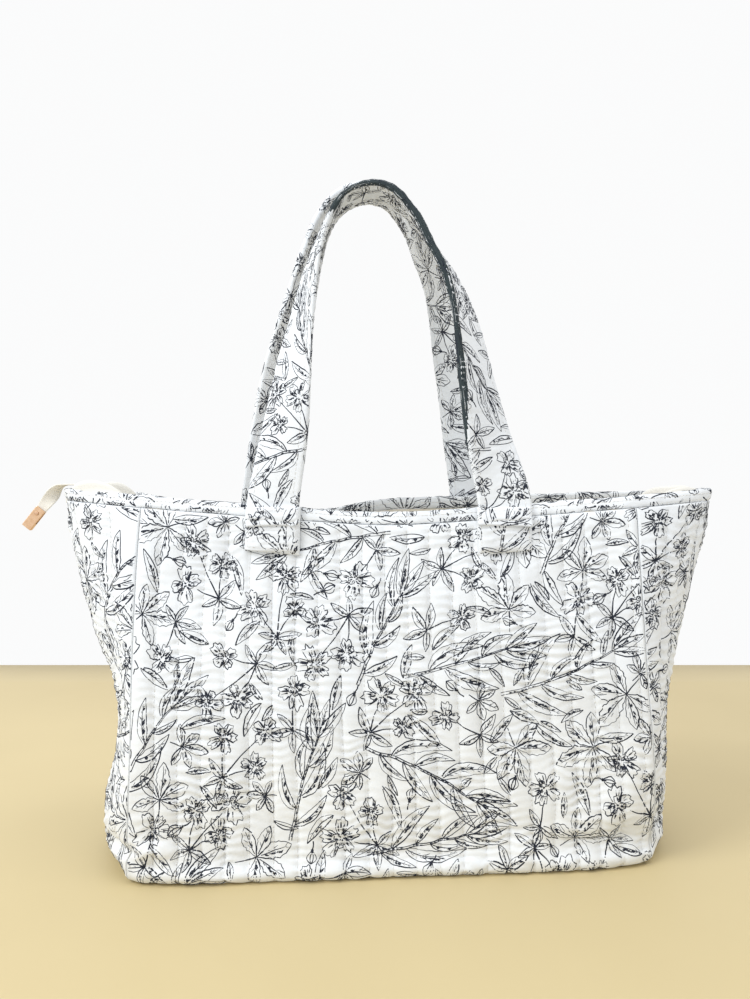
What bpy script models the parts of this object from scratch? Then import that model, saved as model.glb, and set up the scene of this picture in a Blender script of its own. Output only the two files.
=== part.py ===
"""Quilted zip tote for knitting, in metres, +Z up.

The origin is the centre of the base's underside, -Y is the front and +X the closed end of the zip.
The walls are a quilt of three layers (outer cloth, wadding, lining), each a shell between two lofted
surfaces of one family, so that the layers nest with a small gap.
"""
import math

import bmesh
import bpy
import numpy as np
from mathutils import Matrix, Vector

# ---------------------------------------------------------------- driving dimensions
PANEL_HALF_W = 0.1815        # half the width of the front and back panels
BASE_HALF_D = 0.0725         # half the depth of the bag at its base
MOUTH_HALF_D = 0.0275        # half the depth of the mouth, outside
TIP_REACH = 0.0690           # how far the gusset's fold stands out past the panel at the mouth
BASE_FLARE = 0.0300          # the same, gained in the first centimetres above the base
FLARE_HEIGHT = 0.009
TIP_Z = 0.2660               # height of the mouth's two tips
FRONT_SAG = 0.0180           # how far the middle of the front edge hangs below the tips
BACK_SAG = 0.0070
EDGE_ROUND = 0.0065          # rounding between walls and base
CORNER_PULL = 0.0090         # rounding of the base's corners in plan

CORNER_REACH = 0.05          # height over which that rounding fades out
FOOT = 0.12                  # share of a wall's height parameter that its rounded foot takes
BASE_TURN = math.radians(4.5)   # the base stands turned a little under the mouth
TURN_FROM, TURN_TO = 0.015, 0.230   # heights between which that turn fades out
GAP = 0.0003                 # between pieces that touch
CLOTH = 0.0012               # outer cloth
WADDING = 0.0024
LINING = 0.0008
CLOTH_IN = CLOTH
WADDING_OUT = CLOTH_IN + GAP
WADDING_IN = WADDING_OUT + WADDING
LINING_OUT = WADDING_IN + GAP
LINING_IN = LINING_OUT + LINING

BINDING_H = 0.0090           # rolled edge around the mouth
BINDING_IN = LINING_IN + 0.0008
BINDING_ROUND = 0.0014

STRAP_W = 0.0400
STRAP_T = 0.0040
HANDLE_X = 0.0845            # strap centre to the middle of the bag
PATCH_H = 0.0260
PATCH_T = 0.0050

ZIP_HALF_LEN = 0.1850        # the stretch of the zip that opens
FACING_T = 0.0014
TAPE_T = 0.0010
TAPE_EDGE = 0.0105           # from the zip's centre line to the facing
COIL_R = 0.0009
COIL_Y = 0.0020              # from the zip's centre line to the middle of a coil
ZIP_DROP = 0.0065            # the zip lies level, this far below the lowest point of the edge
FOLD_Y = 0.0235              # where each half of the zip folds down, from the middle
OPEN_COIL_X = -0.2115        # where the coils stop in the sewn-in open end
CLOSED_COIL_X = 0.2145
SLIDER_LEN = 0.0095
SLIDER_X = 0.1985            # the closed slider's place, past the stretch that opens
PLATE_GAP = 0.0019           # from the coils' middle to each plate of the slider
PLATE_T = 0.0012
CROWN_H = 0.0030
PULL_T = 0.0010

# ---------------------------------------------------------------- colours, linear
PRINTED_COTTON = (0.84, 0.84, 0.84)
CREAM_COTTON = (0.80, 0.74, 0.62)
POLYESTER = (0.88, 0.88, 0.86)
ZIP_CREAM = (0.78, 0.72, 0.60)
GOLD = (0.80, 0.56, 0.36)

bag = None


def start_scene():
    """Empty the scene and make the collection that the parts go in."""
    for obj in list(bpy.data.objects):
        bpy.data.objects.remove(obj)
    collection = bpy.data.collections.new("knitting_bag")
    bpy.context.scene.collection.children.link(collection)
    return collection


def material(name, colour, roughness, metallic=0.0):
    """A plain Principled BSDF, shared by every part that names it."""
    found = bpy.data.materials.get(name)
    if found:
        return found
    made = bpy.data.materials.new(name)
    made.use_nodes = True
    shader = made.node_tree.nodes["Principled BSDF"]
    shader.inputs["Base Color"].default_value = (*colour, 1.0)
    shader.inputs["Roughness"].default_value = roughness
    shader.inputs["Metallic"].default_value = metallic
    return made


def printed():
    return material("printed_cotton", PRINTED_COTTON, 0.85)


def lining_cloth():
    return material("lining_cotton", CREAM_COTTON, 0.85)


def wadding_fill():
    return material("wadding", POLYESTER, 0.95)


def zip_cloth():
    return material("zip_tape", ZIP_CREAM, 0.8)


def gold_metal():
    return material("gold_metal", GOLD, 0.28, 1.0)


def add_mesh(name, verts, faces, surface, smooth=True):
    """A named object from a mesh, in the bag's collection, with its normals facing out."""
    mesh = bpy.data.meshes.new(name)
    mesh.from_pydata([tuple(v) for v in verts], [], faces)
    work = bmesh.new()
    work.from_mesh(mesh)
    bmesh.ops.recalc_face_normals(work, faces=work.faces)
    work.to_mesh(mesh)
    work.free()
    mesh.materials.append(surface)
    if smooth:
        mesh.shade_smooth()
        mesh.set_sharp_from_angle(angle=math.radians(40))
    obj = bpy.data.objects.new(name, mesh)
    bag.objects.link(obj)
    return obj


def shell(name, outer, inner, surface):
    """A closed sheet between two lofted surfaces, given as grids of rows of points.

    Its cells are cut along one diagonal, so that the faces of neighbouring layers stay parallel.
    """
    rows, cols = outer.shape[:2]
    verts = np.concatenate([outer.reshape(-1, 3), inner.reshape(-1, 3)])
    side = rows * cols
    faces = []
    for i in range(rows - 1):
        for j in range(cols - 1):
            a = i * cols + j
            b = a + cols
            for cell in ((a, a + 1, b + 1), (a, b + 1, b)):
                faces.append(cell)
                faces.append(tuple(side + k for k in reversed(cell)))
    top = (rows - 1) * cols
    for j in range(cols - 1):
        faces.append((j + 1, j, side + j, side + j + 1))
        faces.append((top + j, top + j + 1, side + top + j + 1, side + top + j))
    for i in range(rows - 1):
        a = i * cols
        b = a + cols - 1
        faces.append((a, a + cols, side + a + cols, side + a))
        faces.append((b + cols, b, side + b, side + b + cols))
    return add_mesh(name, verts, faces, surface)


def grid(point, rows, cols):
    """Points of a surface over two parameter lists, as an array of rows."""
    return np.array([[point(r, c) for c in cols] for r in rows])


# ---------------------------------------------------------------- the form of the bag
def rise(x):
    """0 in the middle of an edge and 1 at the tips, with a rounded start."""
    soft = 0.03
    reach = PANEL_HALF_W + TIP_REACH
    return (math.hypot(x, soft) - soft) / (math.hypot(reach, soft) - soft)


def edge_z(x, side):
    """Height of the mouth's edge: side is -1 at the front and 1 at the back."""
    sag = FRONT_SAG if side < 0 else BACK_SAG
    return TIP_Z - sag * (1 - min(rise(x), 1.0))


def half_depth(t):
    return MOUTH_HALF_D + (BASE_HALF_D - MOUTH_HALF_D) * (1 - t ** 2.1)


def flare(t):
    """How far the gusset's fold stands out past the panels at a height."""
    near_base = BASE_FLARE * (1 - math.exp(-t * TIP_Z / FLARE_HEIGHT))
    return near_base + (TIP_REACH - BASE_FLARE) * t ** 2


def corner_pull(t):
    """How far the panels' ends draw in at the base's rounded corners."""
    return CORNER_PULL * math.exp(-t * TIP_Z / CORNER_REACH)


def rounded_foot(height, edge, inset):
    """Height and inset of a wall point: a quarter round at the foot, then straight up."""
    if height < FOOT:
        turn = height / FOOT * math.pi / 2
        r = EDGE_ROUND - inset
        return EDGE_ROUND - r * math.cos(turn), EDGE_ROUND - r * math.sin(turn)
    along = (height - FOOT) / (1 - FOOT)
    return EDGE_ROUND + along * (edge - EDGE_ROUND), inset


def seam_x(t, inset):
    """Where panel and gusset meet: a mitre, so that inner layers stop short of each other."""
    turn = math.atan2(half_depth(t), 2 * flare(t))
    return PANEL_HALF_W - math.tan(turn / 2) * inset


def panel_plan(t, across, inset, side):
    """Where the front or back wall is in plan; across runs from -1 to 1 between the seams."""
    x = across * (seam_x(t, inset) - GAP)
    y = half_depth(t) - corner_pull(t) * abs(across) ** 8 - inset
    return x, side * y


def gusset_plan(t, around, inset, side):
    """The same for the left or right wall; around runs from -1, front seam, to 1, back seam."""
    seam = seam_x(t, inset) + GAP
    ridge = PANEL_HALF_W + flare(t) - inset
    x = seam + (ridge - seam) * (1 - around ** 2)
    return side * x, (half_depth(t) - corner_pull(t) - inset) * around


def panel_edge(across, side):
    return edge_z(across * PANEL_HALF_W, side)


def gusset_edge(around):
    return edge_z(PANEL_HALF_W + TIP_REACH * (1 - around ** 2), around)


def turned(x, y, z):
    """The slight twist of the whole bag: the base is turned, the mouth is not."""
    u = min(max((z - TURN_FROM) / (TURN_TO - TURN_FROM), 0.0), 1.0)
    angle = BASE_TURN * (1 - u * u * (3 - 2 * u))
    c, s = math.cos(angle), math.sin(angle)
    return c * x - s * y, s * x + c * y, z


def wall_point(plan, edge, height, along, inset, side):
    """A point on a wall, from its foot at height 0 to the underside of the rolled edge at 1."""
    z, q = rounded_foot(height, edge - BINDING_H - GAP, inset)
    return turned(*plan(z / edge, along, q, side), z)


def panel_point(height, across, inset, side):
    return wall_point(panel_plan, panel_edge(across, side), height, across, inset, side)


def gusset_point(height, around, inset, side):
    return wall_point(gusset_plan, gusset_edge(around), height, around, inset, side)


def base_point(x_part, y_part, z):
    """A point on the flat bottom, inside the walls' rounded foot."""
    half_w = PANEL_HALF_W - EDGE_ROUND - 2 * GAP
    half_d = BASE_HALF_D - EDGE_ROUND - 2 * GAP - CORNER_PULL * abs(x_part) ** 8
    return turned(x_part * half_w, y_part * half_d, z)


LAYERS = {
    "panel": (0.0, CLOTH_IN),
    "wadding": (WADDING_OUT, WADDING_IN),
    "lining": (LINING_OUT, LINING_IN),
}
SURFACES = {"panel": printed, "wadding": wadding_fill, "lining": lining_cloth}


def wall_heights():
    """Five stations on the rounded foot and seven more up to the rolled edge."""
    return [*np.linspace(0.0, FOOT, 5), *np.linspace(FOOT, 1.0, 8)[1:]]


ACROSS = [-1.0, -0.93, -0.8, -0.58, -0.38, -0.2, -0.08, 0.08, 0.2, 0.38, 0.58, 0.8, 0.93, 1.0]
AROUND = [-1.0, -0.8, -0.6, -0.4, -0.2, 0.0, 0.2, 0.4, 0.6, 0.8, 1.0]


def make_walls():
    for layer, (outside, inside) in LAYERS.items():
        surface = SURFACES[layer]()
        for word, side in (("front", -1), ("back", 1)):
            outer = grid(lambda h, a: panel_point(h, a, outside, side), wall_heights(), ACROSS)
            inner = grid(lambda h, a: panel_point(h, a, inside, side), wall_heights(), ACROSS)
            shell(f"{word}_{layer}", outer, inner, surface)
        for word, side in (("left", -1), ("right", 1)):
            outer = grid(lambda h, a: gusset_point(h, a, outside, side), wall_heights(), AROUND)
            inner = grid(lambda h, a: gusset_point(h, a, inside, side), wall_heights(), AROUND)
            name = f"{word}_gusset" if layer == "panel" else f"{word}_{layer}"
            shell(name, outer, inner, surface)
        below = grid(lambda x, y: base_point(x, y, outside), ACROSS, (-1, 0, 1))
        above = grid(lambda x, y: base_point(x, y, inside), ACROSS, (-1, 0, 1))
        shell(f"base_{layer}", below, above, surface)


# ---------------------------------------------------------------- the mouth's rolled edge
def mouth_stations(side):
    """Plan function, edge height, parameter and hand at each station from left to right tip."""
    stop = 0.06
    to_tip = [k for k in AROUND if k > 0]
    arounds = [side * k for k in (stop, *to_tip)]
    left = [(gusset_plan, gusset_edge(k), k, -1) for k in arounds]
    middle = [(panel_plan, panel_edge(k, side), k, side) for k in ACROSS]
    right = [(gusset_plan, gusset_edge(k), k, 1) for k in reversed(arounds)]
    return left + middle + right


def make_bindings():
    """Rolled edge strips over the raw top of the quilt, one each side, meeting at the tips."""
    section = [
        (0.0, BINDING_H),
        (0.0, BINDING_ROUND),
        (BINDING_ROUND, 0.0),
        (BINDING_IN - BINDING_ROUND, 0.0),
        (BINDING_IN, BINDING_ROUND),
        (BINDING_IN, BINDING_H),
    ]
    for word, side in (("front", -1), ("back", 1)):
        rings = []
        for plan, edge, along, hand in mouth_stations(side):
            rings.append([
                (*plan(1 - drop / edge, along, inset, hand), edge - drop) for inset, drop in section
            ])
        loft_bar(f"{word}_binding", rings, printed())


def loft_bar(name, rings, surface):
    """A solid bar through closed rings of equal count, capped at both ends."""
    count = len(rings[0])
    verts = [point for ring in rings for point in ring]
    faces = [tuple(range(count)), tuple((len(rings) - 1) * count + k for k in range(count))]
    for i in range(len(rings) - 1):
        for k in range(count):
            a = i * count + k
            b = i * count + (k + 1) % count
            faces.append((a, b, b + count, a + count))
    return add_mesh(name, verts, faces, surface)


# ---------------------------------------------------------------- handles and patches
FRONT_LOOP = [
    (-0.0845, 0.2455),
    (-0.0843, 0.2600),
    (-0.0765, 0.3150),
    (-0.0710, 0.3520),
    (-0.0610, 0.4050),
    (-0.0545, 0.4380),
    (-0.0465, 0.4630),
    (-0.0340, 0.4808),
    (-0.0150, 0.4880),
    (0.0040, 0.4842),
    (0.0208, 0.4668),
    (0.0332, 0.4452),
    (0.0470, 0.4200),
    (0.0573, 0.3880),
    (0.0670, 0.3435),
    (0.0750, 0.3020),
    (0.0843, 0.2600),
    (0.0845, 0.2455),
]
BACK_SHIFT = -0.0147         # the back handle is sewn on this far to the left of the front one
BACK_SHIFT_TOP = -0.0057     # and its top is this far to the left
LOOP_H = 0.2425
FOOT_DROP = 0.0073           # the strap leaves its patch this far below the edge
HINGE_DROP = 0.0076          # and the handle's hinge is just below that
HINGE_Y = 0.0354             # outside the strap, so that it clears its patch when it falls
BACK_LOOP_SCALE = 1.024      # the back handle stands a little higher than the front one
EDGE_Y = MOUTH_HALF_D + 0.0010 + STRAP_T / 2
APEX_Y = STRAP_W / 2 + 0.0007
WALL_LEAN = 0.36             # the wall's slope at the mouth, which the strap's foot follows


def smooth_path(points, count):
    """Evenly spaced points along a Catmull-Rom curve through the given points."""
    ends = [2 * np.array(points[0]) - points[1]], [2 * np.array(points[-1]) - points[-2]]
    knots = np.array([*ends[0], *[np.array(p) for p in points], *ends[1]])
    dense = []
    for a, b, c, d in zip(knots, knots[1:], knots[2:], knots[3:]):
        for u in np.linspace(0, 1, 16, endpoint=False):
            dense.append(
                0.5 * (2 * b + (c - a) * u + (2 * a - 5 * b + 4 * c - d) * u**2
                       + (3 * b - a - 3 * c + d) * u**3))
    dense = np.array([*dense, knots[-2]])
    run = np.concatenate([[0], np.cumsum(np.linalg.norm(np.diff(dense, axis=0), axis=1))])
    wanted = np.linspace(0, run[-1], count)
    return np.stack([np.interp(wanted, run, dense[:, k]) for k in range(2)], axis=1)


def make_handle(name, side):
    """A flat strap that faces out at its ends and lies flat, a quarter turn on, at the top."""
    count = 31
    scale = 1.0 if side < 0 else BACK_LOOP_SCALE
    edge = edge_z(HANDLE_X, side)
    path = smooth_path(FRONT_LOOP, count)
    steps = np.gradient(path, axis=0)
    outer, inner = [], []
    for (x, z), (dx, dz), s in zip(path, steps, np.linspace(0, 1, count)):
        end = abs(1 - 2 * s)
        twist = math.pi / 2 * (1 - end ** 1.3)
        height = edge - FOOT_DROP + (z - FRONT_LOOP[0][1]) * scale
        lean = APEX_Y + (EDGE_Y - APEX_Y) * end ** 2.5 + WALL_LEAN * max(edge - height, 0.0)
        if side > 0:
            climb = (z - FRONT_LOOP[0][1]) / LOOP_H
            x += BACK_SHIFT + (BACK_SHIFT_TOP - BACK_SHIFT) * climb
        centre = Vector((x, side * lean, height))
        along = Vector((dx, 0, dz)).normalized()
        inward = Vector((along.z, 0, -along.x))
        width = math.cos(twist) * inward + math.sin(twist) * Vector((0, side, 0))
        facing = along.cross(width)
        edges = [centre + width * (k * STRAP_W / 2) for k in (-1, 0, 1)]
        outer.append([e + facing * (STRAP_T / 2) for e in edges])
        inner.append([e - facing * (STRAP_T / 2) for e in edges])
    return shell(name, np.array(outer), np.array(inner), printed())


def make_patches():
    """Folded patches on the outside, with the sewn end of the strap inside them."""
    for word, side in (("front", -1), ("back", 1)):
        for hand, sign in (("left", -1), ("right", 1)):
            centre = sign * HANDLE_X + (BACK_SHIFT if side > 0 else 0.0)
            top = edge_z(HANDLE_X, side)
            xs = [centre + k * STRAP_W / 2 for k in (-1, -0.5, 0, 0.5, 1)]
            drops = np.linspace(BINDING_H + PATCH_H, BINDING_H, 6)

            def on_wall(drop, x, stand):
                y = half_depth(1 - drop / top) + 2 * GAP + stand
                return turned(x, side * y, top - drop)

            outer = grid(lambda d, x: on_wall(d, x, PATCH_T), drops, xs)
            inner = grid(lambda d, x: on_wall(d, x, 0.0), drops, xs)
            shell(f"{word}_{hand}_patch", outer, inner, printed())


# ---------------------------------------------------------------- the zip
ZIP_Z = TIP_Z - FRONT_SAG - ZIP_DROP
TAIL_TOP = TIP_Z + 0.0030    # the tape passes over the left tip at this height
TAIL_LEVEL_TO = -0.2020      # the tape is level from the middle of the bag to here
TAIL_OVER_AT = -0.2420       # and on top of the tip from here


def zip_level(x):
    return ZIP_Z


def mouth_inside(x):
    """Clear half width between the walls at the zip's height."""
    edge = edge_z(x, -1)
    t = ZIP_Z / edge
    past = max(abs(x) - PANEL_HALF_W, 0.0) / flare(t)
    return (half_depth(t) - BINDING_IN) * math.sqrt(max(1 - past, 0.0))


def strip(name, xs, near, far, thick, side, surface, level=zip_level):
    """A cloth strip along the zip between two distances from its centre line."""
    def point(x, y, up):
        return x, side * y, level(x) + up * thick / 2

    upper = np.array([[point(x, near(x), 1), point(x, far(x), 1)] for x in xs])
    lower = np.array([[point(x, near(x), -1), point(x, far(x), -1)] for x in xs])
    return shell(name, upper, lower, surface)


def rod(name, points, radius, surface):
    """A round rod along a line of points."""
    curve = bpy.data.curves.new(name, "CURVE")
    curve.dimensions = "3D"
    curve.bevel_depth = radius
    curve.bevel_resolution = 1
    curve.use_fill_caps = True
    spline = curve.splines.new("POLY")
    spline.points.add(len(points) - 1)
    for slot, point in zip(spline.points, points):
        slot.co = (*point, 1.0)
    curve.materials.append(surface)
    obj = bpy.data.objects.new(name, curve)
    bag.objects.link(obj)
    return obj


def make_zip_halves():
    """Facing, tape and coil of each half of the stretch that opens."""
    xs = np.linspace(-ZIP_HALF_LEN, ZIP_HALF_LEN, 15)
    for word, side in (("front", -1), ("back", 1)):
        strip(f"{word}_zip_facing", xs, lambda x: TAPE_EDGE + GAP,
              lambda x: mouth_inside(x) - 0.0006, FACING_T, side, lining_cloth())
        strip(f"{word}_zip_tape", xs, lambda x: COIL_Y + COIL_R + GAP,
              lambda x: TAPE_EDGE, TAPE_T, side, zip_cloth())
        rod(f"{word}_zip_coil", [(x, side * COIL_Y, ZIP_Z) for x in xs], COIL_R, zip_cloth())


def tail_z(x):
    """Height of the zip's left end: level under the slider, then up and over the tip."""
    u = min(max((TAIL_LEVEL_TO - x) / (TAIL_LEVEL_TO - TAIL_OVER_AT), 0.0), 1.0)
    return ZIP_Z + (TAIL_TOP - ZIP_Z) * u * u * (3 - 2 * u)


def forked_end(name, fork_x, heel_x, tip_x, width, level, slit, surface):
    """A sewn-in end of the zip: two arms beside the coil, joined by a heel past the slit."""
    arm = np.linspace(fork_x, heel_x, 9)
    heel = np.linspace(heel_x, tip_x, 7)[1:]
    rows = [[(x, -width(x)), (x, -slit), (x, slit), (x, width(x))] for x in (*arm, *heel)]
    verts, faces = [], []
    for up in (1, -1):
        for row in rows:
            verts += [(x, y, level(x) + up * TAPE_T / 2) for x, y in row]
    half = len(rows) * 4
    last_arm = len(arm) - 1

    def is_cloth(i, k):
        return k != 1 or i >= last_arm

    for i in range(len(rows) - 1):
        for k in range(3):
            if not is_cloth(i, k):
                continue
            a = i * 4 + k
            quad = (a, a + 1, a + 5, a + 4)
            faces.append(quad)
            faces.append(tuple(half + v for v in reversed(quad)))
            if i == 0 or not is_cloth(i - 1, k):
                faces.append((a + 1, a, half + a, half + a + 1))
            if i == len(rows) - 2:
                faces.append((a + 4, a + 5, half + a + 5, half + a + 4))
            if k == 0 or not is_cloth(i, k - 1):
                faces.append((a, a + 4, half + a + 4, half + a))
            if k == 2 or not is_cloth(i, k + 1):
                faces.append((a + 5, a + 1, half + a + 1, half + a + 5))
    return add_mesh(name, verts, faces, surface, smooth=False)


def make_zip_ends():
    """The stretches past the opening part: tape sewn into the corners, with their coils."""
    slit = COIL_Y + COIL_R + GAP
    first = ZIP_HALF_LEN + 0.0006

    def in_corner(x):
        return min(TAPE_EDGE, mouth_inside(x) - 0.0016)

    def over_tip(x):
        past = min(max((TAIL_LEVEL_TO - x) / 0.030, 0.0), 1.0)
        return (1 - past) * in_corner(TAIL_LEVEL_TO) + past * TAIL_WIDTHS[0]

    past_coil = 0.0005
    forked_end("zip_closed_end", first, CLOSED_COIL_X + past_coil, 0.2240, in_corner, zip_level,
               slit, zip_cloth())
    forked_end("zip_open_end", -first, OPEN_COIL_X - past_coil, -0.2480, over_tip, tail_z,
               slit, zip_cloth())
    for word, side in (("front", -1), ("back", 1)):
        right = np.linspace(first, CLOSED_COIL_X, 4)
        left = np.linspace(-first, OPEN_COIL_X, 6)
        rod(f"{word}_closed_coil", [(x, side * COIL_Y, ZIP_Z) for x in right], COIL_R,
            zip_cloth())
        rod(f"{word}_open_coil", [(x, side * COIL_Y, tail_z(x)) for x in left], COIL_R,
            zip_cloth())


def box(name, low, high, surface=None):
    """A box between two corners, from the cube primitive, with its scale in the mesh."""
    low, high = Vector(low), Vector(high)
    mesh = bpy.data.meshes.new(name)
    work = bmesh.new()
    size = high - low
    place = Matrix.Translation((low + high) / 2) @ Matrix.Diagonal((*size, 1.0))
    bmesh.ops.create_cube(work, size=1.0, matrix=place)
    work.to_mesh(mesh)
    work.free()
    if surface:
        mesh.materials.append(surface)
    obj = bpy.data.objects.new(name, mesh)
    bag.objects.link(obj)
    return obj


def outline_plate(name, outline, thickness, centre_z, surface, holes=()):
    """A flat plate with its outline in XY, from a filled 2D curve, made a welded mesh."""
    curve = bpy.data.curves.new(name, "CURVE")
    curve.dimensions = "2D"
    curve.fill_mode = "BOTH"
    curve.extrude = thickness / 2
    for ring in (outline, *holes):
        spline = curve.splines.new("POLY")
        spline.points.add(len(ring) - 1)
        spline.use_cyclic_u = True
        for slot, (x, y) in zip(spline.points, ring):
            slot.co = (x, y, 0.0, 1.0)
    curve.materials.append(surface)
    guide = bpy.data.objects.new(name + "_outline", curve)
    bag.objects.link(guide)
    mesh = bpy.data.meshes.new_from_object(guide.evaluated_get(bpy.context.evaluated_depsgraph_get()))
    bpy.data.objects.remove(guide)
    work = bmesh.new()
    work.from_mesh(mesh)
    bmesh.ops.remove_doubles(work, verts=work.verts, dist=1e-6)
    bmesh.ops.translate(work, verts=work.verts, vec=(0, 0, centre_z))
    bmesh.ops.recalc_face_normals(work, faces=work.faces)
    work.to_mesh(mesh)
    work.free()
    mesh.name = name
    obj = bpy.data.objects.new(name, mesh)
    bag.objects.link(obj)
    return obj


def combine(target, others, operation):
    """Join or cut a part with others by the exact Boolean, and remove the others."""
    for other in others:
        change = target.modifiers.new(operation.lower(), "BOOLEAN")
        change.operation = operation
        change.solver = "EXACT"
        change.object = other
    depsgraph = bpy.context.evaluated_depsgraph_get()
    mesh = bpy.data.meshes.new_from_object(target.evaluated_get(depsgraph))
    target.modifiers.clear()
    target.data = mesh
    for other in others:
        bpy.data.objects.remove(other)
    return target


def make_slider():
    """Two shield-shaped plates on a post between the coils, with the crown that holds the pull."""
    half = SLIDER_LEN / 2
    shield = [
        (half, 0.0030), (half, -0.0030), (half - 0.0020, -0.0048), (0.0, -0.0050),
        (-half + 0.0010, -0.0036), (-half, -0.0028), (-half, 0.0028), (-half + 0.0010, 0.0036),
        (0.0, 0.0050), (half - 0.0020, 0.0048),
    ]
    shield = [(x + SLIDER_X, y) for x, y in shield]
    top_z = ZIP_Z + PLATE_GAP + PLATE_T / 2
    low_z = ZIP_Z - PLATE_GAP - PLATE_T / 2
    slider = outline_plate("zip_slider", shield, PLATE_T, top_z, gold_metal())
    under = outline_plate("under_plate", shield, PLATE_T, low_z, gold_metal())
    post = box("post", (SLIDER_X + half - 0.0036, -0.0006, low_z),
               (SLIDER_X + half - 0.0006, 0.0006, top_z))
    crown_foot = ZIP_Z + PLATE_GAP + PLATE_T - 0.0002
    crown_top = crown_foot + CROWN_H
    crown = box("crown", (SLIDER_X - 0.0034, -0.0006, crown_foot),
                (SLIDER_X + 0.0034, 0.0006, crown_top))
    window = box("window", (SLIDER_X - 0.0024, -0.002, crown_foot + 0.0003),
                 (SLIDER_X + 0.0024, 0.002, crown_top - 0.0008))
    combine(crown, [window], "DIFFERENCE")
    combine(slider, [under, post, crown], "UNION")
    return slider


PULL_PIVOT_Z = ZIP_Z + PLATE_GAP + PLATE_T + 0.00115


def make_pull():
    """A tab with a window around the crown; its end bar lies under the crown."""
    tab = [
        (0.0185, 0.0018), (0.0170, 0.0026), (0.0072, 0.0024), (0.0010, 0.0020), (-0.0005, 0.0015),
        (-0.0005, -0.0015), (0.0010, -0.0020), (0.0072, -0.0024), (0.0170, -0.0026),
        (0.0185, -0.0018),
    ]
    window = [(0.0005, 0.0010), (0.0052, 0.0010), (0.0052, -0.0010), (0.0005, -0.0010)]
    hole = [(0.0125, 0.0012), (0.0155, 0.0012), (0.0155, -0.0012), (0.0125, -0.0012)]
    place = [[(x + SLIDER_X, y) for x, y in ring] for ring in (tab, window, hole)]
    return outline_plate("zip_pull", place[0], PULL_T, PULL_PIVOT_Z, gold_metal(),
                         holes=place[1:])


# ---------------------------------------------------------------- tail and end clip
TAIL_START = Vector((-0.2492, 0.0, TAIL_TOP))
TAIL_KNEE = Vector((-0.2565, 0.0, 0.2645))
TAIL_END = Vector((-0.2680, 0.0, 0.2500))
CLIP_LEN = 0.0180
CLIP_W = 0.0080
CLIP_T = 0.0044
CLIP_SLOT = 0.0018
CLIP_LAP = 0.0110            # how much of the tape lies inside the clip
TAIL_WIDTHS = [0.0058, 0.0056, 0.0050, 0.0042, 0.0034, 0.0034]   # half widths, start to end


def make_tail():
    """The free end of the tape: over the left tip, then down into the clip."""
    down = (TAIL_END - TAIL_KNEE).normalized()
    inside = TAIL_END + down * CLIP_LAP
    middle = (TAIL_KNEE + TAIL_END) / 2
    stations = [TAIL_START, (TAIL_START + TAIL_KNEE) / 2 + Vector((0, 0, 0.0008)), TAIL_KNEE,
                middle, TAIL_END, inside]
    upper, lower = [], []
    for k, (point, half) in enumerate(zip(stations, TAIL_WIDTHS)):
        before = stations[max(k - 1, 0)]
        after = stations[min(k + 1, len(stations) - 1)]
        run = (after - before).normalized()
        turn = math.pi / 2 * min(k / 4, 1.0)
        across = math.cos(turn) * Vector((0, 1, 0)) + math.sin(turn) * Vector((-run.z, 0, run.x))
        up = across.cross(run)
        row = [point + across * (half * w) for w in (-1, 0, 1)]
        upper.append([p + up * TAPE_T / 2 for p in row])
        lower.append([p - up * TAPE_T / 2 for p in row])
    tail = shell("zip_tail", np.array(upper), np.array(lower), zip_cloth())
    lean = Vector((-1, 0, 0)).rotation_difference(down).to_matrix().to_4x4()
    quarter = Matrix.Rotation(math.pi / 2, 4, "X")
    return tail, Matrix.Translation(TAIL_END) @ lean @ quarter


SCREW_X = -0.0042            # the screw's place along the clip
SCREW_HOLE = 0.0009
SCREW_SHANK = 0.0006
SCREW_HEAD = 0.0015
SCREW_HEAD_H = 0.0010


def drill(name, place, radius, length):
    """A round cutter across the clip, at the screw's place."""
    mesh = bpy.data.meshes.new(name)
    work = bmesh.new()
    bmesh.ops.create_cone(work, cap_ends=True, segments=12, radius1=radius, radius2=radius,
                          depth=length, matrix=place)
    work.to_mesh(mesh)
    work.free()
    obj = bpy.data.objects.new(name, mesh)
    bag.objects.link(obj)
    return obj


def make_clip(tail, frame):
    """A folded metal end on the tail, held by a small screw through tape and clip."""
    clip = box("zip_end_clip", (-CLIP_LEN, -CLIP_W / 2, -CLIP_T / 2),
               (0.0005, CLIP_W / 2, CLIP_T / 2), gold_metal())
    rounding = clip.modifiers.new("rounded", "BEVEL")
    rounding.width = 0.0006
    rounding.segments = 2
    slot = box("slot", (-CLIP_LAP - 0.0008, -CLIP_W, -CLIP_SLOT / 2),
               (0.01, CLIP_W, CLIP_SLOT / 2))
    across = Matrix.Translation((SCREW_X, 0, 0))
    combine(clip, [slot, drill("clip_hole", across, SCREW_HOLE, 0.02)], "DIFFERENCE")
    clip.data.transform(frame)
    combine(tail, [drill("tape_hole", frame @ across, SCREW_HOLE, 0.004)], "DIFFERENCE")
    reach = CLIP_T / 2
    top = reach + SCREW_HEAD_H
    profile = [(0.0, top), (SCREW_HEAD * 0.7, top), (SCREW_HEAD, top - 0.0004),
               (SCREW_HEAD, reach + GAP), (SCREW_SHANK, reach + GAP), (SCREW_SHANK, -reach),
               (0.0, -reach)]
    mesh = bpy.data.meshes.new("clip_screw")
    mesh.from_pydata([(x, 0, z) for x, z in profile], [(k, k + 1) for k in range(6)], [])
    mesh.materials.append(gold_metal())
    screw = bpy.data.objects.new("clip_screw", mesh)
    bag.objects.link(screw)
    turned = screw.modifiers.new("turned", "SCREW")
    turned.steps = turned.render_steps = 16
    turned.use_merge_vertices = True
    turned.merge_threshold = 0.00001
    screw.matrix_world = frame @ across


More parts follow.
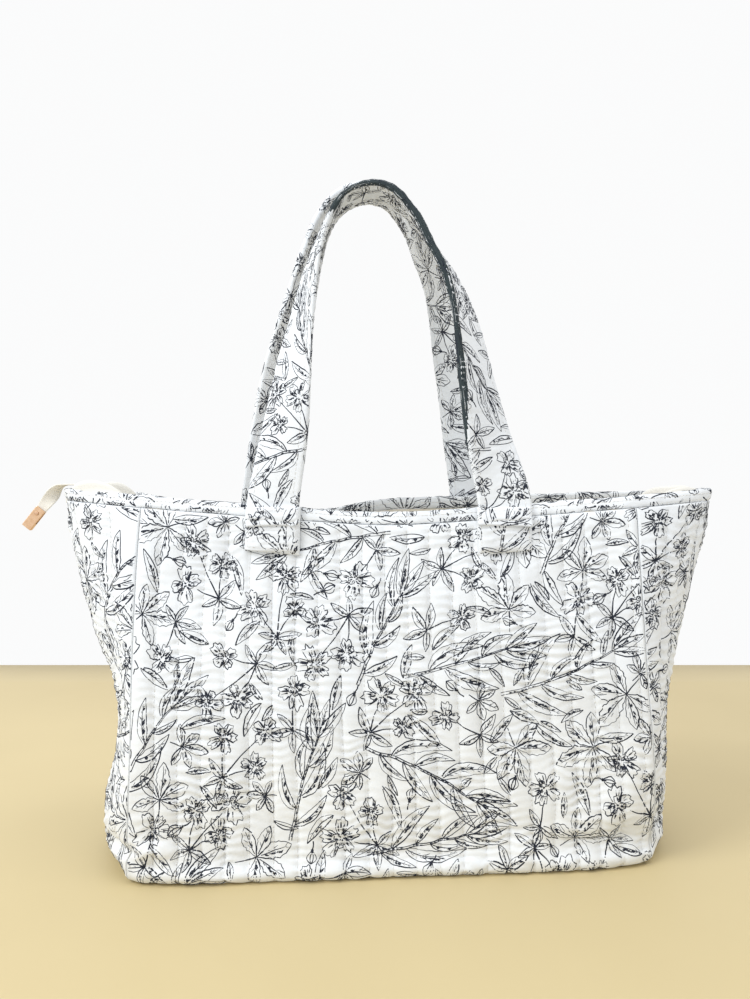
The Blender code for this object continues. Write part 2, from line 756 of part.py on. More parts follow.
# ---------------------------------------------------------------- moving pieces
def hang_on_axes():
    """Parent each moving piece to an empty that stands on its joint's axis."""
    front_edge, back_edge = (float(edge_z(HANDLE_X, side)) for side in (-1, 1))
    axes = {
        "front_handle_axis": ((0, -HINGE_Y, front_edge - HINGE_DROP), ["front_handle"]),
        "back_handle_axis": ((0, HINGE_Y, back_edge - HINGE_DROP), ["back_handle"]),
        "front_zip_axis": ((0, -FOLD_Y, ZIP_Z),
                           ["front_zip_facing", "front_zip_tape", "front_zip_coil"]),
        "back_zip_axis": ((0, FOLD_Y, ZIP_Z),
                          ["back_zip_facing", "back_zip_tape", "back_zip_coil"]),
        "slider_axis": ((SLIDER_X, 0, ZIP_Z), ["zip_slider"]),
        "pull_axis": ((SLIDER_X, 0, PULL_PIVOT_Z), ["zip_pull"]),
        "tail_axis": (TAIL_START + Vector((0.0004, 0, 0)),
                      ["zip_tail", "zip_end_clip", "clip_screw"]),
    }
    for name, (place, pieces) in axes.items():
        empty = bpy.data.objects.new(name, None)
        empty.location = place
        bag.objects.link(empty)
        for piece in pieces:
            obj = bag.objects[piece]
            obj.parent = empty
            obj.matrix_parent_inverse = Matrix.Translation(place).inverted()


def main():
    global bag
    bag = start_scene()
    make_walls()
    make_bindings()
    make_handle("front_handle", -1)
    make_handle("back_handle", 1)
    make_patches()
    make_zip_halves()
    make_zip_ends()
    make_slider()
    make_pull()
    make_clip(*make_tail())
    hang_on_axes()


main()
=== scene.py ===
"""Looks of the quilted knitting tote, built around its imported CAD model.

Every cloth piece is a fine closed shell over the same lofted form as the CAD walls. A coarse cloth
simulation of the whole bag gives the slow sag, quilting and puckers go on top of it, and the print
is thin ribbons of ink that lie on the cloth.
"""
import math

import bpy
import numpy as np
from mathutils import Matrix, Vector


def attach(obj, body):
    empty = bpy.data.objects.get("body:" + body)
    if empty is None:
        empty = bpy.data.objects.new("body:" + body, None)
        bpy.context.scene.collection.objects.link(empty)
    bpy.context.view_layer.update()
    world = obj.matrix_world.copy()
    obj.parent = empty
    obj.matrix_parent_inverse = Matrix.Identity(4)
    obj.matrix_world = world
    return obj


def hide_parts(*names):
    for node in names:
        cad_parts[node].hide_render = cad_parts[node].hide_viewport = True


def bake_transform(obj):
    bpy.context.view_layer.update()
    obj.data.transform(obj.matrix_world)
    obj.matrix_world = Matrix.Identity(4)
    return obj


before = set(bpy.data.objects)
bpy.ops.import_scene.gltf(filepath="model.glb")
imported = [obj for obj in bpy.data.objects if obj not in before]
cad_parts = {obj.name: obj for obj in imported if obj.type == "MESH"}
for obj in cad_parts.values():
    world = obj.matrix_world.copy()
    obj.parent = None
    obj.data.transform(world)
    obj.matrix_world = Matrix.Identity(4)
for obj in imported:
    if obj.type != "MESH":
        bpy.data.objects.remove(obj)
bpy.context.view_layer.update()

# ---------------------------------------------------------------- the CAD form, in metres
PANEL_HALF_W, BASE_HALF_D, MOUTH_HALF_D = 0.1815, 0.0725, 0.0275
TIP_REACH, BASE_FLARE, FLARE_HEIGHT = 0.0690, 0.0300, 0.009
TIP_Z, FRONT_SAG, BACK_SAG = 0.2660, 0.0180, 0.0070
EDGE_ROUND, CORNER_PULL, GAP = 0.0065, 0.0090, 0.0003
CLOTH_IN, WADDING_OUT, WADDING_IN, LINING_OUT, LINING_IN = 0.0012, 0.0015, 0.0039, 0.0042, 0.0050
BINDING_H, BINDING_IN = 0.0090, 0.0058
STRAP_W, STRAP_T, HANDLE_X = 0.0400, 0.0040, 0.0845
PATCH_H = 0.0235
BASE_TURN, TURN_FROM, TURN_TO = math.radians(4.5), 0.015, 0.230
ZIP_Z, ZIP_HALF_LEN, FOLD_Y = 0.2415, 0.1850, 0.0235
COIL_Y, TAPE_EDGE = 0.0020, 0.0105
FOOT = 0.12                  # share of a wall's parameter that the rounded foot takes
STEP = 0.0015

FRONT, BACK, LEFT, RIGHT = -1, 1, -1, 1


def rise(x):
    soft = 0.03
    return (np.hypot(x, soft) - soft) / (math.hypot(PANEL_HALF_W + TIP_REACH, soft) - soft)


def edge_z(x, side):
    sag = np.where(np.asarray(side) < 0, FRONT_SAG, BACK_SAG)
    return TIP_Z - sag * (1 - np.minimum(rise(x), 1.0))


def half_depth(t):
    return MOUTH_HALF_D + (BASE_HALF_D - MOUTH_HALF_D) * (1 - np.maximum(t, 0) ** 2.1)


def flare(t):
    return BASE_FLARE * (1 - np.exp(-t * TIP_Z / FLARE_HEIGHT)) + (TIP_REACH - BASE_FLARE) * t**2


def corner_pull(t):
    return CORNER_PULL * np.exp(-t * TIP_Z / 0.05)


def seam_x(t, inset):
    return PANEL_HALF_W - np.tan(np.arctan2(half_depth(t), 2 * flare(t)) / 2) * inset


def panel_plan(t, across, inset, side):
    x = across * (seam_x(t, inset) - GAP)
    return x, side * (half_depth(t) - corner_pull(t) * np.abs(across) ** 8 - inset)


def gusset_plan(t, around, inset, side):
    seam = seam_x(t, inset) + GAP
    ridge = PANEL_HALF_W + flare(t) - inset
    x = seam + (ridge - seam) * (1 - around**2)
    return side * x, (half_depth(t) - corner_pull(t) - inset) * around


def turned_base(x, y, z):
    """The slight twist of the whole bag: the base is turned, the mouth is not."""
    u = np.clip((z - TURN_FROM) / (TURN_TO - TURN_FROM), 0, 1)
    angle = BASE_TURN * (1 - u * u * (3 - 2 * u))
    c, s = np.cos(angle), np.sin(angle)
    return np.stack([c * x - s * y, s * x + c * y, z], axis=-1)


def wall(kind, side, heights, alongs, inset):
    """Points of a wall over two parameter lists, from its foot to under the rolled edge."""
    h, a = np.meshgrid(heights, alongs, indexing="ij")
    if kind == "panel":
        edge = edge_z(a * PANEL_HALF_W, side)
    else:
        edge = edge_z(PANEL_HALF_W + TIP_REACH * (1 - a**2), a)
    top = edge - BINDING_H - GAP
    turn = np.minimum(h / FOOT, 1) * math.pi / 2
    r = EDGE_ROUND - inset
    low = h < FOOT
    z = np.where(low, EDGE_ROUND - r * np.cos(turn),
                 EDGE_ROUND + (h - FOOT) / (1 - FOOT) * (top - EDGE_ROUND))
    q = np.where(low, EDGE_ROUND - r * np.sin(turn), inset)
    plan = panel_plan if kind == "panel" else gusset_plan
    x, y = plan(z / edge, a, q, side)
    return turned_base(x, y, z)


# ---------------------------------------------------------------- small numeric helpers
def smooth01(x):
    x = np.clip(x, 0, 1)
    return x * x * (3 - 2 * x)


def unit(v):
    return v / np.maximum(np.linalg.norm(v, axis=-1, keepdims=True), 1e-12)


def cubic_weights(places, count):
    """Matrix that reads a row of count values at fractional places with cubic convolution."""
    places = np.clip(places, 0, count - 1)
    base = np.floor(places).astype(int)
    weights = np.zeros((len(places), count))
    for k in (-1, 0, 1, 2):
        d = np.abs(places - (base + k))
        w = np.where(d < 1, 1.5 * d**3 - 2.5 * d**2 + 1,
                     np.where(d < 2, -0.5 * d**3 + 2.5 * d**2 - 4 * d + 2, 0))
        np.add.at(weights, (np.arange(len(places)), np.clip(base + k, 0, count - 1)), w)
    return weights


def noise(rows, cols, row_scale, col_scale, seed):
    """Smooth noise of about unit size over metric row and column positions."""
    rng = np.random.default_rng(seed)
    nr = int((rows[-1] - rows[0]) / row_scale) + 3
    nc = int((cols[-1] - cols[0]) / col_scale) + 3
    values = rng.uniform(-1, 1, (nr, nc))
    return cubic_weights((rows - rows[0]) / row_scale + 0.5, nr) @ values @ cubic_weights(
        (cols - cols[0]) / col_scale + 0.5, nc).T


def grid_normals(points, sign):
    du = np.gradient(points, axis=1)
    dv = np.gradient(points, axis=0)
    return sign * unit(np.cross(du, dv))


def arc(points):
    return np.concatenate([[0], np.cumsum(np.linalg.norm(np.diff(points, axis=0), axis=1))])


def even(points, step):
    """A line of points read again at even steps, through a smooth curve."""
    points = np.asarray(points, float)
    ends = 2 * points[0] - points[1], 2 * points[-1] - points[-2]
    knots = np.array([ends[0], *points, ends[1]])
    dense = []
    for a, b, c, d in zip(knots, knots[1:], knots[2:], knots[3:]):
        u = np.linspace(0, 1, 16, endpoint=False)[:, None]
        dense.append(0.5 * (2 * b + (c - a) * u + (2 * a - 5 * b + 4 * c - d) * u**2
                            + (3 * b - a - 3 * c + d) * u**3))
    dense = np.concatenate([*dense, knots[-2:-1]])
    run = arc(dense)
    wanted = np.linspace(0, run[-1], max(int(run[-1] / step) + 1, 2))
    return np.stack([np.interp(wanted, run, dense[:, k]) for k in range(points.shape[1])], axis=1)


def sag_back_edge(points):
    """The left half of the back edge hangs lower than on the plain CAD form."""
    x, y, z = points[..., 0], points[..., 1], points[..., 2]
    along = smooth01((x + 0.215) / 0.07) * smooth01((0.012 - x) / 0.075)
    up = smooth01((z - 0.150) / 0.09) * smooth01((0.340 - z) / 0.08)
    behind = smooth01((y - 0.004) / 0.015)
    out = points.copy()
    out[..., 2] -= 0.0105 * along * up * behind
    return out


# ---------------------------------------------------------------- meshes
def add_object(name, verts, faces, surface, smooth=True):
    mesh = bpy.data.meshes.new(name)
    verts = np.asarray(verts, np.float32).reshape(-1, 3)
    faces = [np.asarray(f, np.int32).reshape(-1, n) for n, f in faces if len(f)]
    loops = np.concatenate([f.ravel() for f in faces])
    counts = np.concatenate([np.full(len(f), f.shape[1], np.int32) for f in faces])
    mesh.vertices.add(len(verts))
    mesh.vertices.foreach_set("co", verts.ravel())
    mesh.loops.add(len(loops))
    mesh.loops.foreach_set("vertex_index", loops)
    mesh.polygons.add(len(counts))
    mesh.polygons.foreach_set("loop_start", np.concatenate([[0], np.cumsum(counts)[:-1]]))
    mesh.polygons.foreach_set("loop_total", counts)
    mesh.update(calc_edges=True)
    mesh.validate()
    if smooth:
        mesh.shade_smooth()
    mesh.materials.append(surface)
    obj = bpy.data.objects.new(name, mesh)
    bpy.context.scene.collection.objects.link(obj)
    return obj


def quads(rows, cols, start=0, flip=False):
    i, j = np.meshgrid(np.arange(rows - 1), np.arange(cols - 1), indexing="ij")
    a = (i * cols + j).ravel() + start
    faces = np.stack([a, a + 1, a + cols + 1, a + cols], axis=1)
    return faces[:, ::-1] if flip else faces


def shell(name, outer, inner, surface, flip=False):
    """A closed sheet between two grids of points; flip turns its faces' winding round."""
    rows, cols = outer.shape[:2]
    n = rows * cols
    faces = [quads(rows, cols, 0, flip), quads(rows, cols, n, not flip)]
    j = np.arange(cols - 1)
    i = np.arange(rows - 1) * cols
    top = (rows - 1) * cols
    rims = [
        np.stack([j + 1, j, n + j, n + j + 1], axis=1),
        np.stack([top + j, top + j + 1, n + top + j + 1, n + top + j], axis=1),
        np.stack([i, i + cols, n + i + cols, n + i], axis=1),
        np.stack([i + 2 * cols - 1, i + cols - 1, n + i + cols - 1, n + i + 2 * cols - 1], axis=1),
    ]
    faces += [r[:, ::-1] if flip else r for r in rims]
    verts = np.concatenate([outer.reshape(-1, 3), inner.reshape(-1, 3)])
    return add_object(name, verts, [(4, f) for f in faces], surface)


def tube(name, rings, surface, flip=False):
    """A solid through closed rings, each a row of points without its repeated last one."""
    rows, cols = rings.shape[:2]
    i, j = np.meshgrid(np.arange(rows - 1), np.arange(cols), indexing="ij")
    a = (i * cols + j).ravel()
    b = (i * cols + (j + 1) % cols).ravel()
    sides = np.stack([a, b, b + cols, a + cols], axis=1)
    verts = np.concatenate([rings.reshape(-1, 3), rings[:1].mean(axis=1), rings[-1:].mean(axis=1)])
    j = np.arange(cols)
    k = (j + 1) % cols
    last = (rows - 1) * cols
    first_cap = np.stack([k, j, np.full(cols, rows * cols)], axis=1)
    last_cap = np.stack([last + j, last + k, np.full(cols, rows * cols + 1)], axis=1)
    if flip:
        sides, first_cap, last_cap = sides[:, ::-1], first_cap[:, ::-1], last_cap[:, ::-1]
    return add_object(name, verts, [(4, sides), (3, first_cap), (3, last_cap)], surface)


class Cloth:
    """A cloth face as a grid of points and normals, with its own coordinates in metres."""

    def __init__(self, points, normals, across, up):
        self.points, self.normals, self.across, self.up = points, normals, across, up

    def at(self, uv, lift):
        """Points on the face: first coordinate across the columns, second up the rows."""
        c = np.interp(uv[:, 0], self.across, np.arange(len(self.across)))
        r = np.interp(uv[:, 1], self.up, np.arange(len(self.up)))
        c0 = np.minimum(c.astype(int), len(self.across) - 2)
        r0 = np.minimum(r.astype(int), len(self.up) - 2)
        fc, fr = (c - c0)[:, None], (r - r0)[:, None]
        out = 0
        for dr, wr in ((0, 1 - fr), (1, fr)):
            for dc, wc in ((0, 1 - fc), (1, fc)):
                p = self.points[r0 + dr, c0 + dc] + lift * self.normals[r0 + dr, c0 + dc]
                out = out + wr * wc * p
        return out


# ---------------------------------------------------------------- materials
class Surface:
    """A Principled material whose textures all read object coordinates."""

    def __init__(self, name, sockets=None):
        self.material = bpy.data.materials.new(name)
        self.material.use_nodes = True
        self.nodes, self.links = self.material.node_tree.nodes, self.material.node_tree.links
        self.shader = self.nodes["Principled BSDF"]
        for socket, value in (sockets or {}).items():
            self.shader.inputs[socket].default_value = value
        self.place = self.node("ShaderNodeTexCoord").outputs["Object"]

    def node(self, kind, inputs=None, **settings):
        made = self.nodes.new(kind)
        for key, value in settings.items():
            setattr(made, key, value)
        for key, value in (inputs or {}).items():
            made.inputs[key].default_value = value
        return made

    def texture(self, kind, inputs, **settings):
        made = self.node("ShaderNodeTex" + kind, inputs, **settings)
        self.links.new(self.place, made.inputs["Vector"])
        return made.outputs["Fac"]

    def math(self, operation, *sources):
        made = self.node("ShaderNodeMath", operation=operation)
        for source, socket in zip(sources, made.inputs):
            if isinstance(source, float):
                socket.default_value = source
            else:
                self.links.new(source, socket)
        return made.outputs[0]

    def colour(self, source, low, high, start=0.3, stop=0.7):
        ramp = self.node("ShaderNodeValToRGB")
        for element, place, shade in zip(ramp.color_ramp.elements, (start, stop), (low, high)):
            element.position = place
            element.color = (*shade, 1)
        self.links.new(source, ramp.inputs["Fac"])
        self.links.new(ramp.outputs["Color"], self.shader.inputs["Base Color"])

    def gloss(self, source, low, high):
        spread = self.node("ShaderNodeMapRange", {"To Min": low, "To Max": high})
        self.links.new(source, spread.inputs["Value"])
        self.links.new(spread.outputs["Result"], self.shader.inputs["Roughness"])

    def bump(self, height, strength, distance, under=None):
        """One layer of bump; the last layer made is the one that the shader reads."""
        made = self.node("ShaderNodeBump", {"Strength": strength, "Distance": distance})
        self.links.new(height, made.inputs["Height"])
        if under:
            self.links.new(under, made.inputs["Normal"])
        self.links.new(made.outputs["Normal"], self.shader.inputs["Normal"])
        return made.outputs["Normal"]


def cotton(name, low, high, thread=0.00042, weave=0.12, fuzz=0.25, roughness=0.86):
    """Woven cotton: crossed threads and fine fuzz in the bump, faint slow colour variation."""
    made = Surface(name, {"Sheen Weight": 0.25, "Sheen Roughness": 0.5, "Specular IOR Level": 0.25})
    slow = made.texture("Noise", {"Scale": 26.0, "Detail": 3.0})
    slub = made.texture("Noise", {"Scale": 900.0, "Detail": 2.0})
    made.colour(made.math("MULTIPLY_ADD", slub, 0.35, slow), low, high, 0.45, 0.9)
    made.gloss(slub, roughness - 0.06, roughness + 0.06)
    threads = [made.texture("Wave", {"Scale": 0.314 / thread, "Distortion": 0.6, "Detail": 0.0},
                            wave_type="BANDS", bands_direction=axis, wave_profile="SIN")
               for axis in ("X", "Y", "Z")]
    crossed = made.math("ADD", made.math("MAXIMUM", *threads[:2]), threads[2])
    woven = made.bump(crossed, weave, 0.0003)
    crease = made.texture("Noise", {"Scale": 240.0, "Detail": 4.0, "Roughness": 0.6,
                                    "Distortion": 0.4})
    made.bump(crease, fuzz, 0.0008, under=woven)
    return made.material


def ink(name, colour):
    """One dark colour with the cloth's own grain in its gloss and bump: the printed ink, and the
    painted shade along the front handle strap's edge.
    """
    made = Surface(name, {"Base Color": (*colour, 1), "Specular IOR Level": 0.2})
    grain = made.texture("Noise", {"Scale": 1400.0, "Detail": 2.0})
    made.gloss(grain, 0.75, 0.95)
    made.bump(grain, 0.2, 0.0002)
    return made.material


def metal(name, low, high, roughness=0.24):
    """Plated metal with fine scratches and slightly uneven polish."""
    made = Surface(name, {"Metallic": 1.0})
    cloudy = made.texture("Noise", {"Scale": 320.0, "Detail": 4.0})
    made.colour(cloudy, low, high)
    made.gloss(cloudy, roughness - 0.07, roughness + 0.1)
    scratch = made.texture("Wave", {"Scale": 900.0, "Distortion": 9.0, "Detail": 3.0},
                           bands_direction="DIAGONAL")
    made.bump(scratch, 0.06, 0.0001)
    return made.material


def matt_board(name, low, high):
    """A plain board with a faint mottle, for the table and the floor."""
    made = Surface(name, {"Roughness": 0.55})
    made.colour(made.texture("Noise", {"Scale": 3.0, "Detail": 3.0}), low, high)
    return made.material


WHITE_COTTON = cotton("white_cotton", (0.735, 0.76, 0.785), (0.805, 0.83, 0.85))
CREAM_COTTON = cotton("cream_cotton", (0.72, 0.66, 0.54), (0.80, 0.745, 0.63))
FACING_COTTON = cotton("facing_cotton", (0.72, 0.70, 0.645), (0.78, 0.765, 0.71), fuzz=0.12)
WADDING = cotton("wadding_fibre", (0.80, 0.80, 0.78), (0.9, 0.9, 0.88), weave=0.0, fuzz=0.8,
                 roughness=0.93)
TAPE = cotton("zip_tape_weave", (0.76, 0.73, 0.655), (0.83, 0.80, 0.73), thread=0.0008, weave=0.25)
COIL = cotton("zip_coil_nylon", (0.72, 0.66, 0.54), (0.80, 0.74, 0.62), weave=0.0, fuzz=0.05,
              roughness=0.45)
THREAD = cotton("sewing_thread", (0.80, 0.79, 0.76), (0.88, 0.87, 0.85), thread=0.0003, weave=0.3,
                fuzz=0.1, roughness=0.7)
INK = ink("print_ink", (0.026, 0.031, 0.046))
# Painted shade: the dark slate colour of the band along the front handle strap's side edge, standing
# in for the shadow on that edge.
PAINTED_EDGE_SHADE = ink("painted_edge_shade", (0.045, 0.060, 0.065))
ROSE_GOLD = metal("rose_gold", (0.78, 0.50, 0.30), (0.88, 0.61, 0.40))
DARK_GOLD = metal("rose_gold_screw", (0.66, 0.42, 0.26), (0.76, 0.50, 0.33), roughness=0.32)


# ---------------------------------------------------------------- slow sag, by cloth simulation
SETTLE_STEP = 0.008
SETTLE_CAP = 0.0075


def settle_stations():
    heights = np.concatenate([np.linspace(0, FOOT, 4), np.linspace(FOOT, 1, 30)[1:]])
    across = np.linspace(-1, 1, int(2 * PANEL_HALF_W / SETTLE_STEP) + 1)
    around = np.linspace(-1, 1, 21)
    return heights, across, around


def settle():
    """How far each wall point moves when the filled-out cloth hangs from its edge and stands on
    its base. The answer is a grid of offsets for each wall."""
    heights, across, around = settle_stations()
    walls = {
        ("panel", FRONT): wall("panel", FRONT, heights, across, 0.0),
        ("panel", BACK): wall("panel", BACK, heights, across, 0.0),
        ("gusset", LEFT): wall("gusset", LEFT, heights, around, 0.0),
        ("gusset", RIGHT): wall("gusset", RIGHT, heights, around, 0.0),
    }
    ring = [walls["panel", FRONT], walls["gusset", RIGHT][:, 1:-1],
            walls["panel", BACK][:, ::-1], walls["gusset", LEFT][:, -2:0:-1]]
    points = np.concatenate(ring, axis=1)
    rows, cols = points.shape[:2]
    i, j = np.meshgrid(np.arange(rows - 1), np.arange(cols), indexing="ij")
    a, b = (i * cols + j).ravel(), (i * cols + (j + 1) % cols).ravel()
    run = np.arange(cols)[None, :] * SETTLE_STEP
    up = points[..., 2]
    seed = 0.0007 * (np.sin(run * 61 + up * 17) + np.sin(run * 27 - up * 43 + 1.3)
                     + 0.7 * np.sin(run * 11 + up * 55 + 0.4))
    normals = unit(np.cross(np.roll(points, -1, 1) - np.roll(points, 1, 1),
                            np.gradient(points, axis=0)))
    seed = seed * np.sin(np.linspace(0, math.pi, rows))[:, None]
    start = points + normals * seed[..., None]
    bag = add_object("bag_sim", start, [(4, np.stack([a, b, b + cols, a + cols], axis=1))],
                     WHITE_COTTON)
    pinned = bag.vertex_groups.new(name="pinned")
    fixed = [r * cols + c for r in (0, 1, 2, 3, rows - 1) for c in range(cols)]
    pinned.add(fixed, 1.0, "REPLACE")
    seams = [0, len(across) - 1, len(across) + 19, 2 * len(across) + 18]
    pinned.add([r * cols + c for r in range(4, rows - 1) for c in seams], 0.35, "REPLACE")
    cloth = bag.modifiers.new("cloth", "CLOTH").settings
    cloth.quality = 6
    cloth.mass = 0.25
    cloth.tension_stiffness = cloth.compression_stiffness = 18
    cloth.shear_stiffness = 6
    cloth.bending_stiffness = 3.5
    cloth.shrink_min = -0.016
    cloth.vertex_group_mass = "pinned"
    cloth.pin_stiffness = 1.0
    scene = bpy.context.scene
    scene.frame_start, scene.frame_end = 1, 26
    bag.modifiers["cloth"].point_cache.frame_end = 26
    for number in range(1, 27):
        scene.frame_set(number)
    held = bag.evaluated_get(bpy.context.evaluated_depsgraph_get())
    after = np.zeros(rows * cols * 3, np.float32)
    held.data.vertices.foreach_get("co", after)
    scene.frame_set(1)
    move = after.reshape(rows, cols, 3) - points
    size = np.linalg.norm(move, axis=-1, keepdims=True)
    move *= SETTLE_CAP * np.tanh(size / SETTLE_CAP) / np.maximum(size, 1e-9)
    move = 0.5 * move + 0.25 * (np.roll(move, 1, 1) + np.roll(move, -1, 1))
    bpy.data.objects.remove(bag)
    n, g = len(across), len(around)
    right = move[:, n - 1:n + g - 1]
    back = move[:, n + g - 2:2 * n + g - 2][:, ::-1]
    left = np.concatenate([move[:, 2 * n + g - 3:], move[:, :1]], axis=1)[:, ::-1]
    return {("panel", FRONT): move[:, :n], ("panel", BACK): back,
            ("gusset", RIGHT): right, ("gusset", LEFT): left}


SETTLED = settle()
WAIST = {LEFT: 0.0215, RIGHT: 0.0105}    # how far each end of the bag is drawn in
WAIST_AT, WAIST_REACH = 0.48, 0.23       # where, and over how much of the wall's height


def settled(kind, side, heights, alongs):
    """Offsets at a wall's stations: the simulated sag, and the waist of the bag's two ends."""
    rows, across, around = settle_stations()
    field = SETTLED[kind, side]
    cols = across if kind == "panel" else around
    wr = cubic_weights(np.interp(heights, rows, np.arange(len(rows))), len(rows))
    wc = cubic_weights(np.interp(alongs, cols, np.arange(len(cols))), len(cols))
    move = np.einsum("ij,jkc,lk->ilc", wr, field, wc)
    if kind == "gusset":
        belt = np.exp(-((heights - WAIST_AT) / WAIST_REACH) ** 2)
        move[..., 0] -= side * WAIST[side] * belt[:, None] * (1 - alongs**2)[None, :]
    return move


# ---------------------------------------------------------------- the print, as strokes
LINE, FINE = 0.00062, 0.00036
TILE_W, TILE_H = 0.300, 0.290
CELL = 0.0025


def turn_matrix(angle):
    return np.array([[math.cos(angle), math.sin(angle)], [-math.sin(angle), math.cos(angle)]])


def turned(strokes, angle, shift):
    return [(points @ turn_matrix(angle) + shift, widths) for points, widths in strokes]


def moved_spots(spots, angle, shift):
    return [(*(np.array([x, y]) @ turn_matrix(angle) + shift), r) for x, y, r in spots]


def line(points, width):
    points = np.asarray(points, float)
    width = np.asarray(width, float)
    if width.ndim and len(width) != len(points):
        width = np.interp(np.linspace(0, 1, len(points)), np.linspace(0, 1, len(width)), width)
    return points, np.broadcast_to(width, (len(points),)).copy()


def pen(width, count, rng):
    """A pen line's width along its length: it presses and lifts a few times."""
    knots = rng.uniform(0.55, 1.45, max(count // 4, 3))
    return width * np.interp(np.linspace(0, 1, count), np.linspace(0, 1, len(knots)), knots)


def wavy(count, size, rng):
    """A slow irregular wave of a given size."""
    t = np.linspace(0, 1, count)
    return size * sum(rng.uniform(-1, 1) * np.sin(k * math.pi * t + rng.uniform(0, 6))
                      for k in (3, 5, 8, 12)) / 2


def leaf(length, width, bend, rng, widest=0.85, teeth=0.0, base=0.10):
    """A pen-drawn leaf: uneven outline, a midrib, veins and dark blots by the midrib."""
    n = max(int(length / (0.0008 if teeth else 0.0016)), 9)
    t = np.linspace(0, 1, n)
    spine = np.stack([t * length, bend * length * (t**2 - 0.35 * t)], axis=1)
    run = unit(np.gradient(spine, axis=0))
    normal = np.stack([-run[:, 1], run[:, 0]], axis=1)
    half = width / 2 * np.sin(math.pi * t**widest) ** 0.85
    side = rng.choice([-1, 1])
    strokes = []
    for hand in (-1, 1):
        lobes = teeth * (np.abs((t * 5.5 + 0.2 * hand) % 1 - 0.5) * 4 - 1)
        edge = half * (1 + wavy(n, 0.13, rng) + lobes)
        start = 0 if rng.uniform() < 0.6 else 1
        strokes.append(line((spine + normal * (edge * hand)[:, None])[start:],
                            pen(LINE * (1.2 if hand == side else 0.7), n - start, rng)))
    strokes.append(line(spine[int(n * base / 2):int(n * 0.9)], [LINE, LINE * 1.2, FINE * 0.7]))
    for at in np.arange(base, 0.86, 0.0021 / length):
        k = int(at * (n - 1))
        for hand in (-1, 1):
            dark = hand == side
            if rng.uniform() < (0.22 if dark else 0.62):
                continue
            reach = rng.uniform(0.35, 0.95) * half[k]
            root = spine[k] + normal[k] * hand * rng.uniform(0.05, 0.35) * half[k]
            tip = spine[k] + run[k] * reach * rng.uniform(0.7, 1.5) + normal[k] * reach * hand * 0.8
            thick = LINE * rng.choice([0.6, 1.0, 2.2], p=[0.40, 0.35, 0.25] if dark else [0.8, 0.2, 0])
            strokes.append(line([root, root * 0.5 + tip * 0.5, tip], [thick * 0.8, thick, FINE * 0.4]))
    for _ in range(int(length / 0.011)):
        k = int(rng.uniform(base + 0.05, 0.62) * (n - 1))
        off = normal[k] * side * half[k] * rng.uniform(0.1, 0.45)
        far = run[k] * length * rng.uniform(0.07, 0.14)
        strokes.append(line([spine[k] + off, spine[k] + off * 1.15 + far * 0.5,
                             spine[k] + off * 0.7 + far], [FINE, LINE * rng.uniform(2, 3.6), FINE]))
    spots = [(*spine[k], max(half[k] * 0.9, 0.0012)) for k in range(1, n, 3)]
    return strokes, spots


def petal(reach, spread, rng):
    """One ruffled petal along +X: a frilled margin, folds that run out from its root."""
    k = np.linspace(-1, 1, 21)
    frill = 1 + 0.11 * np.sin(k * 12 + rng.uniform(0, 6)) + wavy(21, 0.09, rng)
    r = reach * (1 - 0.72 * np.abs(k) ** 3.2) * frill
    angle = k * spread
    margin = np.stack([r * np.cos(angle), r * np.sin(angle)], axis=1)
    strokes = [line(margin, pen(LINE, 21, rng))]
    for a in rng.uniform(-0.85, 0.85, 7):
        low, high = rng.uniform(0.34, 0.6), rng.uniform(0.62, 0.92)
        d = reach * np.array([math.cos(a * spread), math.sin(a * spread)])
        thick = LINE * rng.choice([0.7, 1.2, 2.2], p=[0.45, 0.3, 0.25])
        strokes.append(line([d * low, d * (low + high) / 2, d * high],
                            [thick, thick * 0.8, FINE * 0.5]))
    return strokes


def flower(radius, rng):
    """A ruffled bloom: uneven petals round a small crown of inner ones and a stippled heart."""
    strokes = []
    count = int(rng.integers(4, 6))
    turn = rng.uniform(0, 6)
    for k in range(count):
        a = turn + (k + rng.uniform(-0.16, 0.16)) * 2 * math.pi / count
        strokes += turned(petal(radius * rng.uniform(0.85, 1.2), math.pi / count * 0.98, rng),
                          a, np.zeros(2))
    for k in range(3):
        strokes += turned(petal(radius * rng.uniform(0.40, 0.60), 0.9, rng),
                          turn + 0.5 + k * 2.1, radius * rng.uniform(-0.08, 0.08, 2))
    for _ in range(4):
        p = radius * rng.uniform(-0.16, 0.16, 2)
        strokes.append(line([p, p + radius * rng.uniform(-0.09, 0.09, 2) + 1e-4], LINE * 1.8))
    return strokes, [(0, 0, radius)]


def whorl(size, rng):
    """Five toothed leaflets that hang from one point, with a short stalk."""
    strokes, spots = [], []
    for a in np.linspace(-1.9, 1.9, 5) + rng.uniform(-0.14, 0.14, 5):
        long = size * (1.05 - 0.22 * abs(a) / 1.9) * rng.uniform(0.85, 1.1)
        shape, marks = leaf(long, long * rng.uniform(0.36, 0.46), rng.uniform(-0.12, 0.12), rng,
                            widest=1.25, teeth=0.13, base=0.26)
        strokes += turned(shape, a, np.zeros(2))
        spots += moved_spots(marks, a, np.zeros(2))
    strokes.append(line([(-0.55 * size, 0.05 * size), (-0.2 * size, 0), (0, 0)],
                        [LINE, LINE * 1.4, LINE * 1.8]))
    return strokes, spots


def bud(length, rng):
    t = np.linspace(0, 1, 9)
    half = length * 0.22 * np.sin(math.pi * t**1.3)
    x = length * (0.35 + 0.65 * t)
    strokes = [line(np.stack([x, half * k + wavy(9, 0.0003, rng)], axis=1), pen(LINE, 9, rng))
               for k in (-1, -0.3, 0.35, 1)]
    strokes.append(line([(0, 0), (0.18 * length, 0.0006), (0.35 * length, 0)], LINE * 1.4))
    strokes.append(line([(0.34 * length, 0), (0.55 * length, 0)], [LINE * 3.4, LINE]))
    return strokes, [(0.2 * length, 0, 0.1 * length), (0.68 * length, 0, 0.25 * length)]


